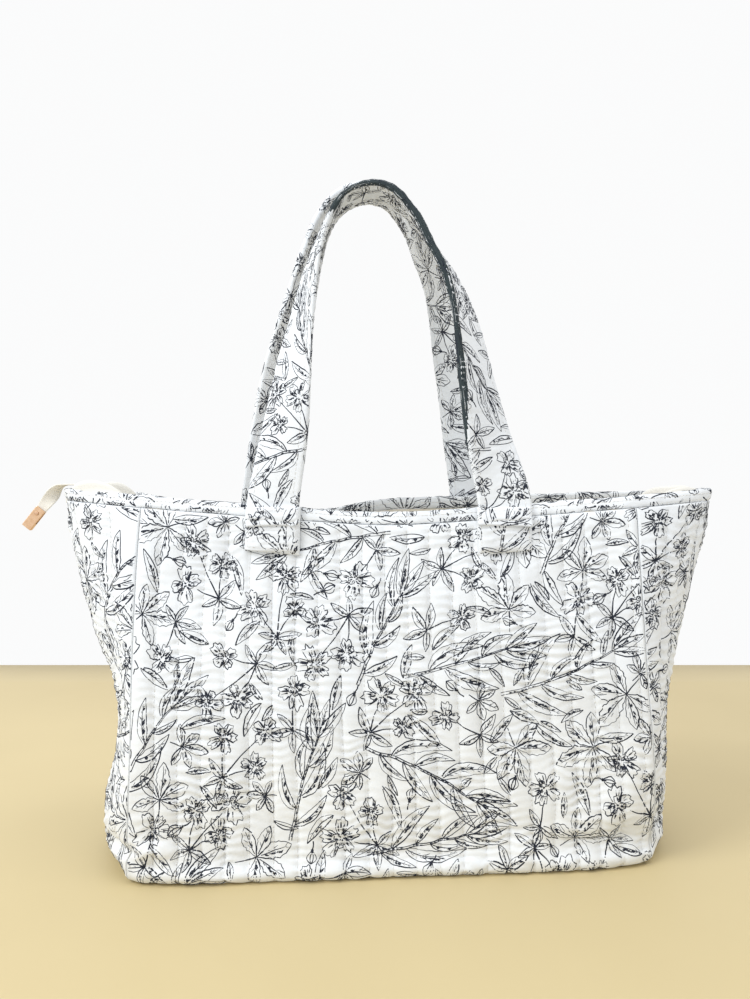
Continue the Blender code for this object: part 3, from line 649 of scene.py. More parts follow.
def stem(points, rng):
    """A stem: two uneven lines with short dark strokes between them."""
    path = even(points, 0.0028)
    path = path + np.stack([wavy(len(path), 0.0006, rng), wavy(len(path), 0.0006, rng)], axis=1)
    run = unit(np.gradient(path, axis=0))
    normal = np.stack([-run[:, 1], run[:, 0]], axis=1)
    thin = np.linspace(0.00095, 0.0004, len(path))[:, None]
    strokes = [line(path + normal * thin * k, pen(LINE, len(path), rng)) for k in (-1, 1)]
    for k in range(1, len(path) - 1):
        if rng.uniform() < 0.6:
            a = path[k] + normal[k] * rng.uniform(-0.6, 0.3) * thin[k]
            strokes.append(line([a, a + run[k] * 0.0022], [LINE * 1.7, FINE * 0.6]))
    return strokes, path, run


def branch(length, bend, rng):
    """A curved stem with fanned, hanging leaves on both sides and a spray at its tip."""
    t = np.linspace(0, 1, 5)
    strokes, path, run = stem(np.stack([t * length, bend * length * t * t], axis=1), rng)
    spots = [(*p, 0.002) for p in path]
    count = int(length / 0.0098)
    for k in range(count):
        hand = 1 if k % 2 else -1
        at = int((0.08 + 0.88 * (k + 0.5) / count) * (len(path) - 1))
        size = rng.uniform(0.020, 0.042) * (1.1 - 0.35 * k / count)
        shape, marks = leaf(size, size * rng.uniform(0.20, 0.28), rng.uniform(0.2, 0.8) * -hand, rng)
        angle = math.atan2(run[at, 1], run[at, 0]) + hand * rng.uniform(0.55, 1.05)
        strokes += turned(shape, angle, path[at])
        spots += moved_spots(marks, angle, path[at])
    for lean in (-0.45, 0.0, 0.5):
        size = rng.uniform(0.026, 0.036)
        shape, marks = leaf(size, size * 0.24, -0.25 * lean, rng)
        angle = math.atan2(run[-1, 1], run[-1, 0]) + lean
        strokes += turned(shape, angle, path[-1])
        spots += moved_spots(marks, angle, path[-1])
    return strokes, spots


def cluster(rng, count=3):
    """Ruffled blooms on forked stalks with a few small leaves where they fork."""
    strokes, spots = [], []
    heads = [(0.66, 0.0102, 0.026), (-0.52, 0.0094, 0.023), (0.06, 0.0108, 0.042)][:count]
    for a, r, far in heads:
        a, r = a + rng.uniform(-0.15, 0.15), r * rng.uniform(0.85, 1.2)
        place = far * np.array([math.cos(a), math.sin(a)])
        shape, _ = flower(r, rng)
        strokes += turned(shape, rng.uniform(0, 6), place)
        strokes.append(line([(0, 0), place * 0.45 + (0, 0.001), place * (1 - 0.8 * r / far)],
                            [LINE * 2.0, LINE * 1.2, LINE]))
        spots += [(*place, r), (*(place * 0.4), 0.003)]
    for a in (1.5, -1.3, 2.6, -2.5):
        size = rng.uniform(0.012, 0.019)
        shape, marks = leaf(size, size * 0.34, rng.uniform(-0.3, 0.3), rng)
        strokes += turned(shape, a, np.zeros(2))
        spots += moved_spots(marks, a, np.zeros(2))
    return strokes, spots


def dot_spray(rng):
    """Fine forked lines with rows of dots beside them."""
    t = np.linspace(0, 1, 9)
    length = rng.uniform(0.030, 0.048)
    strokes, spots = [], []
    for lean in (-0.22, 0.12, 0.4):
        long = length * rng.uniform(0.6, 1)
        path = np.stack([t * long, lean * long * t + 0.08 * long * np.sin(t * 3)], axis=1)
        strokes.append(line(path, FINE))
        for k in np.linspace(0.25, 0.98, int(long / 0.0021)):
            at = np.array([np.interp(k, t, path[:, 0]), np.interp(k, t, path[:, 1])])
            at = at + (0, rng.choice([-1, 1]) * rng.uniform(0.0007, 0.0022))
            strokes.append(line([at, at + rng.uniform(-0.0006, 0.0006, 2) + 0.0003], LINE * 1.1))
        spots += [(*p, 0.002) for p in path[::2]]
    return strokes, spots


class Bolt:
    """A repeating tile of printed cloth with a half drop, filled by trial and rejection."""

    def __init__(self, seed):
        self.rng = np.random.default_rng(seed)
        self.full = np.zeros((int(2 * TILE_W / CELL), int(TILE_H / CELL)), bool)
        self.motifs = []

    def cells(self, spots, grow):
        found = []
        for x, y, r in spots:
            k = int(math.ceil((r + grow) / CELL))
            i, j = np.mgrid[-k:k + 1, -k:k + 1]
            inside = i**2 + j**2 <= ((r + grow) / CELL) ** 2 + 0.5
            found.append(np.stack([i[inside] + int(x // CELL), j[inside] + int(y // CELL)], axis=1))
        return np.concatenate(found)

    def place(self, make, tries, wanted, slack, spread):
        rows, cols = self.full.shape
        done = 0
        for _ in range(tries):
            if done == wanted:
                return
            strokes, spots = make()
            angle = self.rng.normal(1.1, spread)
            shift = np.array([self.rng.uniform(0, TILE_W), self.rng.uniform(0, TILE_H)])
            moved = moved_spots(spots, angle, shift)
            cells = self.cells(moved, 0.0)
            i, j = cells[:, 0], cells[:, 1]
            if self.full[i % rows, j % cols].mean() > slack:
                continue
            grown = self.cells(moved, 0.0006)
            i, j = grown[:, 0], grown[:, 1]
            self.full[i % rows, j % cols] = True
            self.full[(i + rows // 2) % rows, (j + cols // 2) % cols] = True
            self.motifs.append(turned(strokes, angle, shift))
            done += 1

    def cut(self, corner, width, height):
        """All strokes that touch a piece cut from the cloth, measured from its corner."""
        left, low = corner
        right, high = left + width, low + height
        out = []
        for i in range(int(left // TILE_W) - 1, int(right // TILE_W) + 2):
            drop = TILE_H / 2 * (i % 2)
            for j in range(int((low - drop) // TILE_H) - 1, int((high - drop) // TILE_H) + 2):
                shift = np.array([i * TILE_W, j * TILE_H + drop])
                for motif in self.motifs:
                    for points, widths in motif:
                        p = points + shift
                        if (p[:, 0].max() > left and p[:, 0].min() < right
                                and p[:, 1].max() > low and p[:, 1].min() < high):
                            out.append((p - corner, widths))
        return out


def make_bolt():
    """Fill the tile, the largest motifs first, and then small ones in what is left."""
    bolt = Bolt(11)
    rng = bolt.rng
    bolt.place(lambda: branch(rng.uniform(0.066, 0.092), rng.uniform(-0.4, 0.4), rng),
               700, 8, 0.07, 0.9)
    bolt.place(lambda: whorl(rng.uniform(0.022, 0.027), rng), 900, 9, 0.09, 2.0)
    bolt.place(lambda: cluster(rng), 1200, 13, 0.10, 2.0)
    bolt.place(lambda: cluster(rng, 1), 1200, 9, 0.10, 2.0)
    bolt.place(lambda: whorl(rng.uniform(0.014, 0.018), rng), 900, 8, 0.12, 2.0)
    bolt.place(lambda: branch(rng.uniform(0.024, 0.034), rng.uniform(-0.5, 0.5), rng),
               900, 7, 0.14, 2.5)
    bolt.place(lambda: leaf(rng.uniform(0.020, 0.032), 0.0066, rng.uniform(-0.4, 0.4), rng),
               1500, 30, 0.12, 2.5)
    bolt.place(lambda: dot_spray(rng), 900, 10, 0.22, 1.0)
    bolt.place(lambda: bud(rng.uniform(0.014, 0.020), rng), 900, 16, 0.12, 2.5)
    bolt.place(lambda: leaf(rng.uniform(0.012, 0.018), 0.0042, rng.uniform(-0.3, 0.3), rng),
               1500, 36, 0.16, 2.5)
    return bolt


BOLT = make_bolt()


def ribbons(name, cloth, strokes, surface, lift=0.00015, step=0.0019):
    """Strokes laid on a cloth face as thin solid ribbons, cut off at the face's edges."""
    low = np.array([cloth.across[0], cloth.up[0]]) + 0.0002
    high = np.array([cloth.across[-1], cloth.up[-1]]) - 0.0002
    sides, faces, caps, start = [], [], [], 0
    for points, widths in strokes:
        run = arc(points)
        if run[-1] < 1e-6:
            continue
        wanted = np.linspace(0, run[-1], max(int(math.ceil(run[-1] / step)) + 1, 2))
        points = np.stack([np.interp(wanted, run, points[:, k]) for k in (0, 1)], axis=1)
        widths = np.interp(wanted, run, widths)
        inside = ((points > low) & (points < high)).all(axis=1)
        breaks = np.flatnonzero(np.diff(inside.astype(int))) + 1
        for piece in np.split(np.arange(len(points)), breaks):
            if len(piece) < 2 or not inside[piece[0]]:
                continue
            p, w = points[piece], widths[piece, None]
            tangent = unit(np.gradient(p, axis=0))
            normal = np.stack([-tangent[:, 1], tangent[:, 0]], axis=1)
            sides.append(np.stack([p - normal * w / 2, p, p + normal * w / 2], axis=1))
            n = len(p)
            k = np.arange(n - 1) * 3 + start
            for a, b in ((0, 1), (1, 2), (2, 0)):
                faces.append(np.stack([k + b, k + a, k + a + 3, k + b + 3], axis=1))
            last = start + 3 * (n - 1)
            caps.append([[start, start + 1, start + 2], [last + 2, last + 1, last]])
            start += 3 * n
    uv = np.concatenate(sides)
    low_rail = cloth.at(uv[:, [0, 2]].reshape(-1, 2), 0.00003).reshape(-1, 2, 3)
    ridge = cloth.at(uv[:, 1], lift)
    verts = np.stack([low_rail[:, 0], ridge, low_rail[:, 1]], axis=1)
    return add_object(name, verts, [(4, np.concatenate(faces)), (3, np.concatenate(caps))],
                      surface, smooth=False)


def stitches(line_points, stitch, gap, width=0.0006):
    """Short thread strokes along a line on a cloth face."""
    run = arc(line_points)
    out = []
    for at in np.arange(0, run[-1] - stitch, stitch + gap):
        ends = [[np.interp(k, run, line_points[:, c]) for c in (0, 1)] for k in (at, at + stitch)]
        out.append(line(ends, width))
    return out


# ---------------------------------------------------------------- walls
PITCH = 0.0162               # between the quilting's lines
PANEL_ARC, GUSSET_ARC, FOOT_ARC, WALL_ARC = 0.363, 0.150, 0.010, 0.234


def wall_stations(kind, step):
    foot = max(int(FOOT_ARC / step), 4)
    heights = np.concatenate([np.linspace(0, FOOT, foot + 1),
                              np.linspace(FOOT, 1, int(WALL_ARC / step) + 1)[1:]])
    width = PANEL_ARC if kind == "panel" else GUSSET_ARC
    alongs = np.linspace(-1, 1, int(width / step) + 1)
    up = np.interp(heights, [0, FOOT, 1], [0, FOOT_ARC, FOOT_ARC + WALL_ARC])
    return heights, alongs, up, (alongs + 1) * width / 2


def quilt_relief(up, across, seed, puff=0.0025, pucker=0.0009):
    """Height of quilted cloth over its plain form: channels, puckers across them, slow wrinkles."""
    wander = 0.0007 * noise(up, across, 0.05, 0.03, seed)
    u = across[None, :] + wander
    line_gap = np.abs((u / PITCH + 0.5) % 1 - 0.5) * PITCH
    fullness = 0.85 + 0.3 * noise(up, across, 0.02, 0.016, seed + 1)
    channel = puff * (1 - np.exp(-line_gap / 0.0022)) * fullness
    phase = 3.2 * noise(up, across, 0.016, 0.009, seed + 2) + up[:, None] * 2 * math.pi / 0.0058
    strength = 0.40 + 0.60 * np.exp(-line_gap / 0.0040)
    size = np.clip(0.6 + 0.7 * noise(up, across, 0.025, 0.012, seed + 3), 0.1, 1.4)
    puckers = pucker * np.sin(phase) * strength * size
    slow = (0.00030 * noise(up, across, 0.007, 0.016, seed + 4)
            + 0.00085 * noise(up, across, 0.030, 0.055, seed + 5)
            + 0.0015 * noise(up, across, 0.075, 0.11, seed + 6))
    return channel + puckers + slow


def edge_fade(up, across, seam=0.0035, top=0.006, foot=0.006):
    """1 in the middle of a piece, 0 where it is sewn at its sides, top and foot."""
    side = np.minimum(across - across[0], across[-1] - across)
    rows = (1 - np.exp(-(up[-1] - up) / top)) * (1 - np.exp(-up / foot))
    return rows[:, None] * (1 - np.exp(-side / seam))[None, :]


def wall_layer(kind, side, inset, step):
    heights, alongs, up, across = wall_stations(kind, step)
    points = wall(kind, side, heights, alongs, inset) + settled(kind, side, heights, alongs)
    return sag_back_edge(points), up, across


SEEDS = {("panel", FRONT): 21, ("panel", BACK): 41, ("gusset", LEFT): 61, ("gusset", RIGHT): 81}
NAMES = {("panel", FRONT): "front_panel", ("panel", BACK): "back_panel",
         ("gusset", LEFT): "left_gusset", ("gusset", RIGHT): "right_gusset"}
CORNERS = {"front_panel": (0.035, 0.020), "back_panel": (0.140, 0.110),
           "left_gusset": (0.205, 0.060), "right_gusset": (0.090, 0.175)}


def outward(kind, side):
    """Sign that makes a wall grid's normals point out of the bag."""
    return -side if kind == "panel" else side


def build_wall(kind, side):
    name = NAMES[kind, side]
    word = name.split("_")[0]
    seed = SEEDS[kind, side]
    sign = outward(kind, side)
    base, up, across = wall_layer(kind, side, 0.0, STEP)
    relief = quilt_relief(up, across, seed) * edge_fade(up, across)
    normals = grid_normals(base, sign)
    outer = base + normals * relief[..., None]
    outer[..., 2] = np.maximum(outer[..., 2], 0.0002)
    inner = wall_layer(kind, side, CLOTH_IN, STEP)[0]
    panel = shell(name + "_cloth", outer, inner, WHITE_COTTON, flip=sign < 0)
    face = Cloth(outer, grid_normals(outer, sign), across, up)
    strokes = BOLT.cut(CORNERS[name], across[-1], up[-1])
    if (kind == "panel") == (side > 0):
        strokes = [(np.stack([across[-1] - p[:, 0], p[:, 1]], axis=1), w) for p, w in strokes]
    pieces = [panel, ribbons(name + "_print", face, strokes, INK)]
    seams = []
    for u in np.arange(PITCH, across[-1] - 0.002, PITCH):
        seams += stitches(np.array([(u, 0.004), (u, up[-1] - 0.002)]), 0.0022, 0.0011, 0.00045)
    pieces.append(ribbons(name + "_quilting", face, seams, THREAD, lift=0.0002))
    coarse = 0.0035
    fill_out = wall_layer(kind, side, WADDING_OUT, coarse)[0]
    fill_in = wall_layer(kind, side, WADDING_IN, coarse)[0]
    pieces.append(shell(word + "_wadding_fill", fill_out, fill_in, WADDING, flip=sign < 0))
    fine = 0.0030
    cover_out = wall_layer(kind, side, LINING_OUT, fine)[0]
    cover_in, up, across = wall_layer(kind, side, LINING_IN, fine)
    puffs = 0.5 * quilt_relief(up, across, seed + 9) * edge_fade(up, across)
    cover_in = cover_in - grid_normals(cover_in, sign) * np.maximum(puffs, 0)[..., None]
    cover_in[..., 2] = np.maximum(cover_in[..., 2], 0.004)
    pieces.append(shell(word + "_lining_cloth", cover_out, cover_in, CREAM_COTTON, flip=sign < 0))
    for piece in pieces:
        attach(piece, "root")
    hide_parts(name)
    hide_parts(word + "_wadding")
    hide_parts(word + "_lining")


def build_base():
    """The flat bottom: cloth, wadding and lining, with the quilting's puffs facing inwards."""
    half_w = PANEL_HALF_W - EDGE_ROUND - 2 * GAP
    xs = np.linspace(-1, 1, int(2 * half_w / (2 * STEP)) + 1)
    ys = np.linspace(-1, 1, int(2 * BASE_HALF_D / (2 * STEP)) + 1)

    def level(z):
        y, x = np.meshgrid(ys, xs, indexing="ij")
        half_d = BASE_HALF_D - EDGE_ROUND - 2 * GAP - CORNER_PULL * np.abs(x) ** 8
        return turned_base(x * half_w, y * half_d, np.full_like(x, z))

    across, up = (xs + 1) * half_w, (ys + 1) * 0.06
    below = level(0.0)
    relief = quilt_relief(up, across, 101) * edge_fade(up, across, foot=0.004)
    below[..., 2] += 0.0009 - 0.55 * np.clip(relief, 0, 0.0016)
    cloth = shell("base_cloth", below, level(CLOTH_IN + 0.0001), WHITE_COTTON, flip=True)
    face = Cloth(below, grid_normals(below, -1), across, up)
    printed = ribbons("base_print", face, BOLT.cut((0.3, 0.33), across[-1], up[-1]), INK)
    fill = shell("base_wadding_fill", level(WADDING_OUT), level(WADDING_IN), WADDING, flip=True)
    top = level(LINING_IN)
    top[..., 2] += np.clip(relief, 0, 1)
    lining = shell("base_lining_cloth", level(LINING_OUT), top, CREAM_COTTON, flip=True)
    for piece, node, slot in ((cloth, "base_panel", "printed_cotton"),
                              (fill, "base_wadding", "wadding"),
                              (lining, "base_lining", "lining_cotton")):
        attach(piece, "root")
        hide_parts(node)
    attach(printed, "root")


for key in NAMES:
    build_wall(*key)
build_base()


# ---------------------------------------------------------------- rolled edge
def mouth_line(side, step):
    """Plan points and edge heights along one side of the mouth, from left tip to right tip."""
    rim = []
    gussets = np.linspace(0.03, 1, int(0.078 / step) + 1)
    for hand, arounds in ((LEFT, gussets), (RIGHT, gussets[::-1])):
        a = side * arounds
        edge = edge_z(PANEL_HALF_W + TIP_REACH * (1 - a**2), side)
        rim.append((gusset_plan, a, hand, edge))
    a = np.linspace(-1, 1, int(PANEL_ARC / step) + 1)
    rim.insert(1, (panel_plan, a, side, edge_z(a * PANEL_HALF_W, side)))
    return rim


def binding_points(side, insets, drops, step):
    """Rows of binding section points, one row for each station along the mouth."""
    rows = []
    for plan, a, hand, edge in mouth_line(side, step):
        t = 1 - drops[None, :] / edge[:, None]
        x, y = plan(t, a[:, None] * np.ones_like(t), insets[None, :] * np.ones_like(t), hand)
        rows.append(np.stack([x, y, edge[:, None] - drops[None, :] + 0 * x], axis=-1))
    return np.concatenate([rows[0], rows[1][1:-1], rows[2]])


def build_binding(word, side):
    ring = 28
    phi = np.linspace(0, 2 * math.pi, ring + 1)
    c, s = np.cos(phi), np.sin(phi)
    insets = BINDING_IN / 2 - (BINDING_IN / 2 + 0.0004) * np.sign(c) * np.abs(c) ** 0.72
    drops = BINDING_H / 2 - (BINDING_H / 2 + 0.0002) * np.sign(s) * np.abs(s) ** 0.8
    step = 0.0016
    points = binding_points(side, insets, drops, step)
    middle = binding_points(side, np.array([BINDING_IN / 2]), np.array([BINDING_H / 2]), step)
    along = arc(middle[:, 0])
    round_ = np.linspace(0, 0.0265, ring + 1)
    relief = (0.00042 * noise(along, round_, 0.0055, 0.008, 7 + side)
              + 0.00035 * noise(along, round_, 0.022, 0.02, 17 + side)
              + 0.00022 * np.sin(2 * math.pi * along / 0.0061
                                 + 5 * noise(along, round_, 0.02, 0.012, 27 + side).T).T)
    relief[:, -1] = relief[:, 0]
    out = unit(points - middle)
    points = sag_back_edge(points + out * relief[..., None])
    points[1:-1] = 0.5 * points[1:-1] + 0.25 * (points[:-2] + points[2:])
    flip = side > 0
    piece = tube(word + "_binding_roll", points[:, :-1], WHITE_COTTON, flip=flip)
    normals = grid_normals(points, 1 if side < 0 else -1)
    face = Cloth(points, normals * np.sign((normals * out).sum()), round_, along)
    corner = (0.06, 0.31 if side < 0 else 0.02)
    strokes = [(p, w * 1.15) for p, w in BOLT.cut(corner, round_[-1], along[-1])]
    marks = ribbons(word + "_binding_print", face, strokes, INK)
    hem = []
    for u in (0.0008, 0.0130):
        hem += stitches(np.array([(u + 0.0001, 0.004), (u + 0.0001, along[-1] - 0.004)]),
                        0.0021, 0.0009, 0.0004)
    thread = ribbons(word + "_binding_stitching", face, hem, THREAD)
    for made in (piece, marks, thread):
        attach(made, "root")
    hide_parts(word + "_binding")


build_binding("front", FRONT)
build_binding("back", BACK)


# ---------------------------------------------------------------- handles
FRONT_LOOP = np.array([
    (-0.0845, 0.2455), (-0.0843, 0.2600), (-0.0765, 0.3150), (-0.0710, 0.3520),
    (-0.0610, 0.4050), (-0.0545, 0.4380), (-0.0465, 0.4630), (-0.0340, 0.4808),
    (-0.0150, 0.4880), (0.0040, 0.4842), (0.0208, 0.4668), (0.0332, 0.4452), (0.0470, 0.4200),
    (0.0573, 0.3880), (0.0670, 0.3435), (0.0750, 0.3020), (0.0843, 0.2600), (0.0845, 0.2455)])
LOOP_H, BACK_SHIFT, BACK_SHIFT_TOP = 0.2425, -0.0147, -0.0057
FOOT_DROP, WALL_LEAN, BACK_LOOP_SCALE = 0.0073, 0.36, 1.024
EDGE_Y = MOUTH_HALF_D + 0.0010 + STRAP_T / 2
APEX_Y = STRAP_W / 2 + 0.0007


def bend_with_handle(piece):
    """Bakes the piece's world transform into its mesh; nothing is bent here."""
    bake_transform(piece)


def strap_frame(side, step):
    """Centres, width directions and facing directions along a handle."""
    path = even(FRONT_LOOP, step)
    scale = 1.0 if side < 0 else BACK_LOOP_SCALE
    edge = float(edge_z(HANDLE_X, side))
    run = arc(path)
    s = run / run[-1]
    end = np.abs(1 - 2 * s)
    twist = math.pi / 2 * (1 - end**1.3)
    z = edge - FOOT_DROP + (path[:, 1] - FRONT_LOOP[0, 1]) * scale
    lean = APEX_Y + (EDGE_Y - APEX_Y) * end**2.5 + WALL_LEAN * np.maximum(edge - z, 0)
    x = path[:, 0]
    if side > 0:
        climb = (path[:, 1] - FRONT_LOOP[0, 1]) / LOOP_H
        x = x + BACK_SHIFT + (BACK_SHIFT_TOP - BACK_SHIFT) * climb
    centre = np.stack([x, side * lean, z], axis=1)
    steps = np.gradient(path, axis=0)
    along = unit(np.stack([steps[:, 0], np.zeros(len(path)), steps[:, 1]], axis=1))
    inward = np.stack([along[:, 2], np.zeros(len(path)), -along[:, 0]], axis=1)
    width = np.cos(twist)[:, None] * inward + np.sin(twist)[:, None] * np.array([0.0, side, 0.0])
    facing = np.cross(along, width)
    tuck = np.array([0, side * WALL_LEAN, -1.0]) * 0.0018
    more = np.arange(4, 0, -1)[:, None]
    centre = np.concatenate([centre[0] + more * tuck, centre, centre[-1] + more[::-1] * tuck])
    width = np.concatenate([np.repeat(width[:1], 4, 0), width, np.repeat(width[-1:], 4, 0)])
    facing = np.concatenate([np.repeat(facing[:1], 4, 0), facing, np.repeat(facing[-1:], 4, 0)])
    return centre, width, facing


def strap_section():
    """A flat padded tube: across and out offsets of its ring, and the length round it."""
    half, thick, corner = STRAP_W / 2, 0.0021, 0.0019
    flat = np.linspace(-(half - corner), half - corner, 27)
    crown = thick + 0.00055 * np.cos(flat / half * math.pi / 2)
    turn = np.linspace(0, math.pi, 9)[1:-1]
    round_x = half - corner + corner * np.sin(turn)
    round_y = thick * np.cos(turn)
    x = np.concatenate([flat, round_x, flat[::-1], -round_x, flat[:1]])
    y = np.concatenate([crown, round_y, -crown[::-1], -round_y, crown[:1]])
    return x, y, arc(np.stack([x, y], axis=1))


def build_handle(word, side):
    centre, width, facing = strap_frame(side, 0.0020)
    x, y, round_ = strap_section()
    along = arc(centre)
    seed = 301 if side < 0 else 331
    relief = (0.00035 * noise(along, round_, 0.009, 0.011, seed)
              + 0.00055 * noise(along, round_, 0.035, 0.02, seed + 1)
              + 0.00022 * np.sin(2 * math.pi * along[:, None] / 0.0065
                                 + 6 * noise(along, round_, 0.02, 0.011, seed + 2)))
    relief[:, -1] = relief[:, 0]
    pull = 1 - 0.018 * (1 + np.cos(np.linspace(0, 22, len(along))))[:, None]
    bow = 0.0016 * np.sin(along * 31 + seed)[:, None] * (x / (STRAP_W / 2)) ** 2
    points = (centre[:, None] + width[:, None] * (x * pull)[..., None]
              + facing[:, None] * (y + np.sign(y) * relief * (np.abs(y) > 0.0012) + bow)[..., None])
    points = sag_back_edge(points)
    piece = tube(word + "_handle_strap", points[:, :-1], WHITE_COTTON)
    normals = grid_normals(points, 1)
    ring_middle = points[:, :-1].mean(axis=1, keepdims=True)
    normals *= np.sign((normals * (points - ring_middle)).sum())
    face = Cloth(points, normals, round_, along)
    corner = (0.16, 0.05) if side < 0 else (0.02, 0.21)
    pieces = [piece, ribbons(word + "_handle_print", face,
                             BOLT.cut(corner, round_[-1], along[-1]), INK)]
    front_edges = (0.0032, 0.0330)
    back_edges = (round_[-1] / 2 + 0.0032, round_[-1] / 2 + 0.0330)
    rows = []
    for u in (*front_edges, *back_edges):
        rows += stitches(np.array([(u, 0.003), (u, along[-1] - 0.003)]), 0.0024, 0.0010, 0.00045)
    pieces.append(ribbons(word + "_handle_stitching", face, rows, THREAD, lift=0.0002))
    # A dark slate band along the front strap's side edge, from near the apex down its right leg:
    # painted shade standing in for the shadow on the strap's edge and in the gap to the back strap.
    if side < 0:
        rng = np.random.default_rng(5)
        band = []
        for k in range(11):
            v = np.linspace(0.415 + 0.01 * rng.uniform(), 0.90 - 0.012 * abs(k - 3), 160) * along[-1]
            u = 0.0350 + 0.0010 * k + wavy(160, 0.0003, rng)
            band.append(line(np.stack([u, v], axis=1), pen(0.0013, 160, rng)))
        pieces.append(ribbons(word + "_handle_painted_edge_shade", face, band, PAINTED_EDGE_SHADE, lift=0.00012))
    for made in pieces:
        bend_with_handle(made)
    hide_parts(word + "_handle")


build_handle("front", FRONT)
build_handle("back", BACK)


# ---------------------------------------------------------------- patches
def build_patch(word, side, hand_word, hand):
    """A padded patch over the strap's sewn end, from the rolled edge down."""
    centre = hand * HANDLE_X + (BACK_SHIFT if side > 0 else 0)
    top = float(edge_z(HANDLE_X, side))
    step = 0.0012
    s = np.linspace(-1, 1, int(STRAP_W / step) + 1)
    drop = np.linspace(BINDING_H + PATCH_H, 0.0008, int((PATCH_H + BINDING_H) / step) + 1)
    skew = 0.0022 * -hand
    d, k = np.meshgrid(drop, s, indexing="ij")
    low = (d / drop[0]) ** 2
    d = d + skew * k * low
    x = centre + k * STRAP_W / 2
    y = half_depth(1 - d / top)
    z = top - d
    over_roll = smooth01((0.0125 - d) / 0.004)
    heights, alongs, _, _ = wall_stations("panel", 0.003)
    moved = settled("panel", side, heights, alongs)
    edge = edge_z(x, side)
    h = FOOT + (1 - FOOT) * (z - EDGE_ROUND) / (edge - BINDING_H - GAP - EDGE_ROUND)
    rows = np.interp(np.clip(h, 0, 1), heights, np.arange(len(heights)))
    cols = np.interp(x / PANEL_HALF_W, alongs, np.arange(len(alongs)))
    shift = moved[np.rint(rows).astype(int), np.rint(cols).astype(int)]
    up = drop[0] - drop
    across = (s + 1) * STRAP_W / 2
    seed = 400 + 10 * hand + side
    pillow = (1 - np.abs(k) ** 7) * (1 - (np.abs(2 * (d / drop[0]) - 1)) ** 9)
    outer_y = y + 0.0026 + 0.0032 * np.sqrt(np.maximum(pillow, 0)) + 0.0012 * over_roll
    outer_y = outer_y + 0.0009 * noise(up, across, 0.014, 0.012, seed) * pillow
    outer_y = outer_y + 0.0002 * np.sin(2 * math.pi * up[:, None] / 0.005
                                        + 4 * noise(up, across, 0.015, 0.01, seed + 1)) * pillow
    inner_y = y + 0.0010 + 0.0004 * over_roll
    outer = sag_back_edge(turned_base(x, side * outer_y, z) + shift)
    inner = sag_back_edge(turned_base(x, side * inner_y, z) + shift)
    name = f"{word}_{hand_word}_patch"
    sign = outward("panel", side)
    piece = shell(name + "_cloth", outer, inner, WHITE_COTTON, flip=sign < 0)
    face = Cloth(outer, grid_normals(outer, sign), across, up)
    corner = (0.05 + 0.08 * hand, 0.12 + 0.06 * side)
    printed = ribbons(name + "_print", face, BOLT.cut(corner, across[-1], up[-1]), INK)
    inset = 0.0027
    far, high = across[-1] - inset, up[-1] - inset
    box_line = [(inset, high), (inset, inset), (far, inset), (far, high), (inset, high)]
    rows = []
    for a, b in zip(box_line, box_line[1:]):
        rows += stitches(np.array([a, b]), 0.0024, 0.0010, 0.0004)
    sewn = ribbons(name + "_stitching", face, rows, THREAD, lift=0.00012)
    for made in (piece, printed, sewn):
        bend_with_handle(made)
    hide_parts(name)


for word, side in (("front", FRONT), ("back", BACK)):
    build_patch(word, side, "left", LEFT)
    build_patch(word, side, "right", RIGHT)


# ---------------------------------------------------------------- the zip
def tail_z(x):
    return ZIP_Z + (TIP_Z + 0.0030 - ZIP_Z) * smooth01((-0.2020 - x) / 0.040)


def mouth_inside(x):
    edge = edge_z(x, FRONT)
    t = ZIP_Z / edge
    past = np.maximum(np.abs(x) - PANEL_HALF_W, 0) / flare(t)
    return (half_depth(t) - BINDING_IN) * np.sqrt(np.maximum(1 - past, 0))


def strip(name, xs, near, far, level, thick, surface, side, ripple=0.0, seed=0):
    """A thin strip of cloth along the zip, with a little ripple."""
    cols = np.linspace(0, 1, 9)
    y = near(xs)[:, None] + (far(xs) - near(xs))[:, None] * cols[None, :]
    z = level(xs)[:, None] + 0 * y
    if ripple:
        z = z + ripple * noise(xs, cols, 0.011, 0.5, seed) * np.sin(cols * math.pi)[None, :]
    x = xs[:, None] + 0 * y
    upper = np.stack([x, side * y, z + thick / 2], axis=-1)
    lower = np.stack([x, side * y, z - thick / 2], axis=-1)
    made = shell(name, upper, lower, surface, flip=side > 0)
    return made, Cloth(upper, grid_normals(upper, -side), cols * 0.01, xs - xs[0])


def coil(name, path, side, surface):
    """A nylon coil: a fine helix along a line of points, its loops flattened."""
    run = arc(path)
    turns = run[-1] / 0.0013
    k = np.linspace(0, 1, int(turns * 10))
    middle = np.stack([np.interp(k * run[-1], run, path[:, c]) for c in range(3)], axis=1)
    phi = k * turns * 2 * math.pi
    offset = np.stack([0 * phi, side * 0.00085 * np.cos(phi), 0.00062 * np.sin(phi)], axis=1)
    line_points = middle + offset
    along = unit(np.gradient(line_points, axis=0))
    across = unit(np.cross(along, np.array([1.0, 0.02, 0.03])))
    up = np.cross(along, across)
    psi = np.linspace(0, 2 * math.pi, 6, endpoint=False)
    rings = (line_points[:, None] + 0.00030 * (np.cos(psi)[None, :, None] * across[:, None]
                                               + np.sin(psi)[None, :, None] * up[:, None]))
    return tube(name, rings, surface)


def level_zip(xs):
    return np.full_like(xs, ZIP_Z)


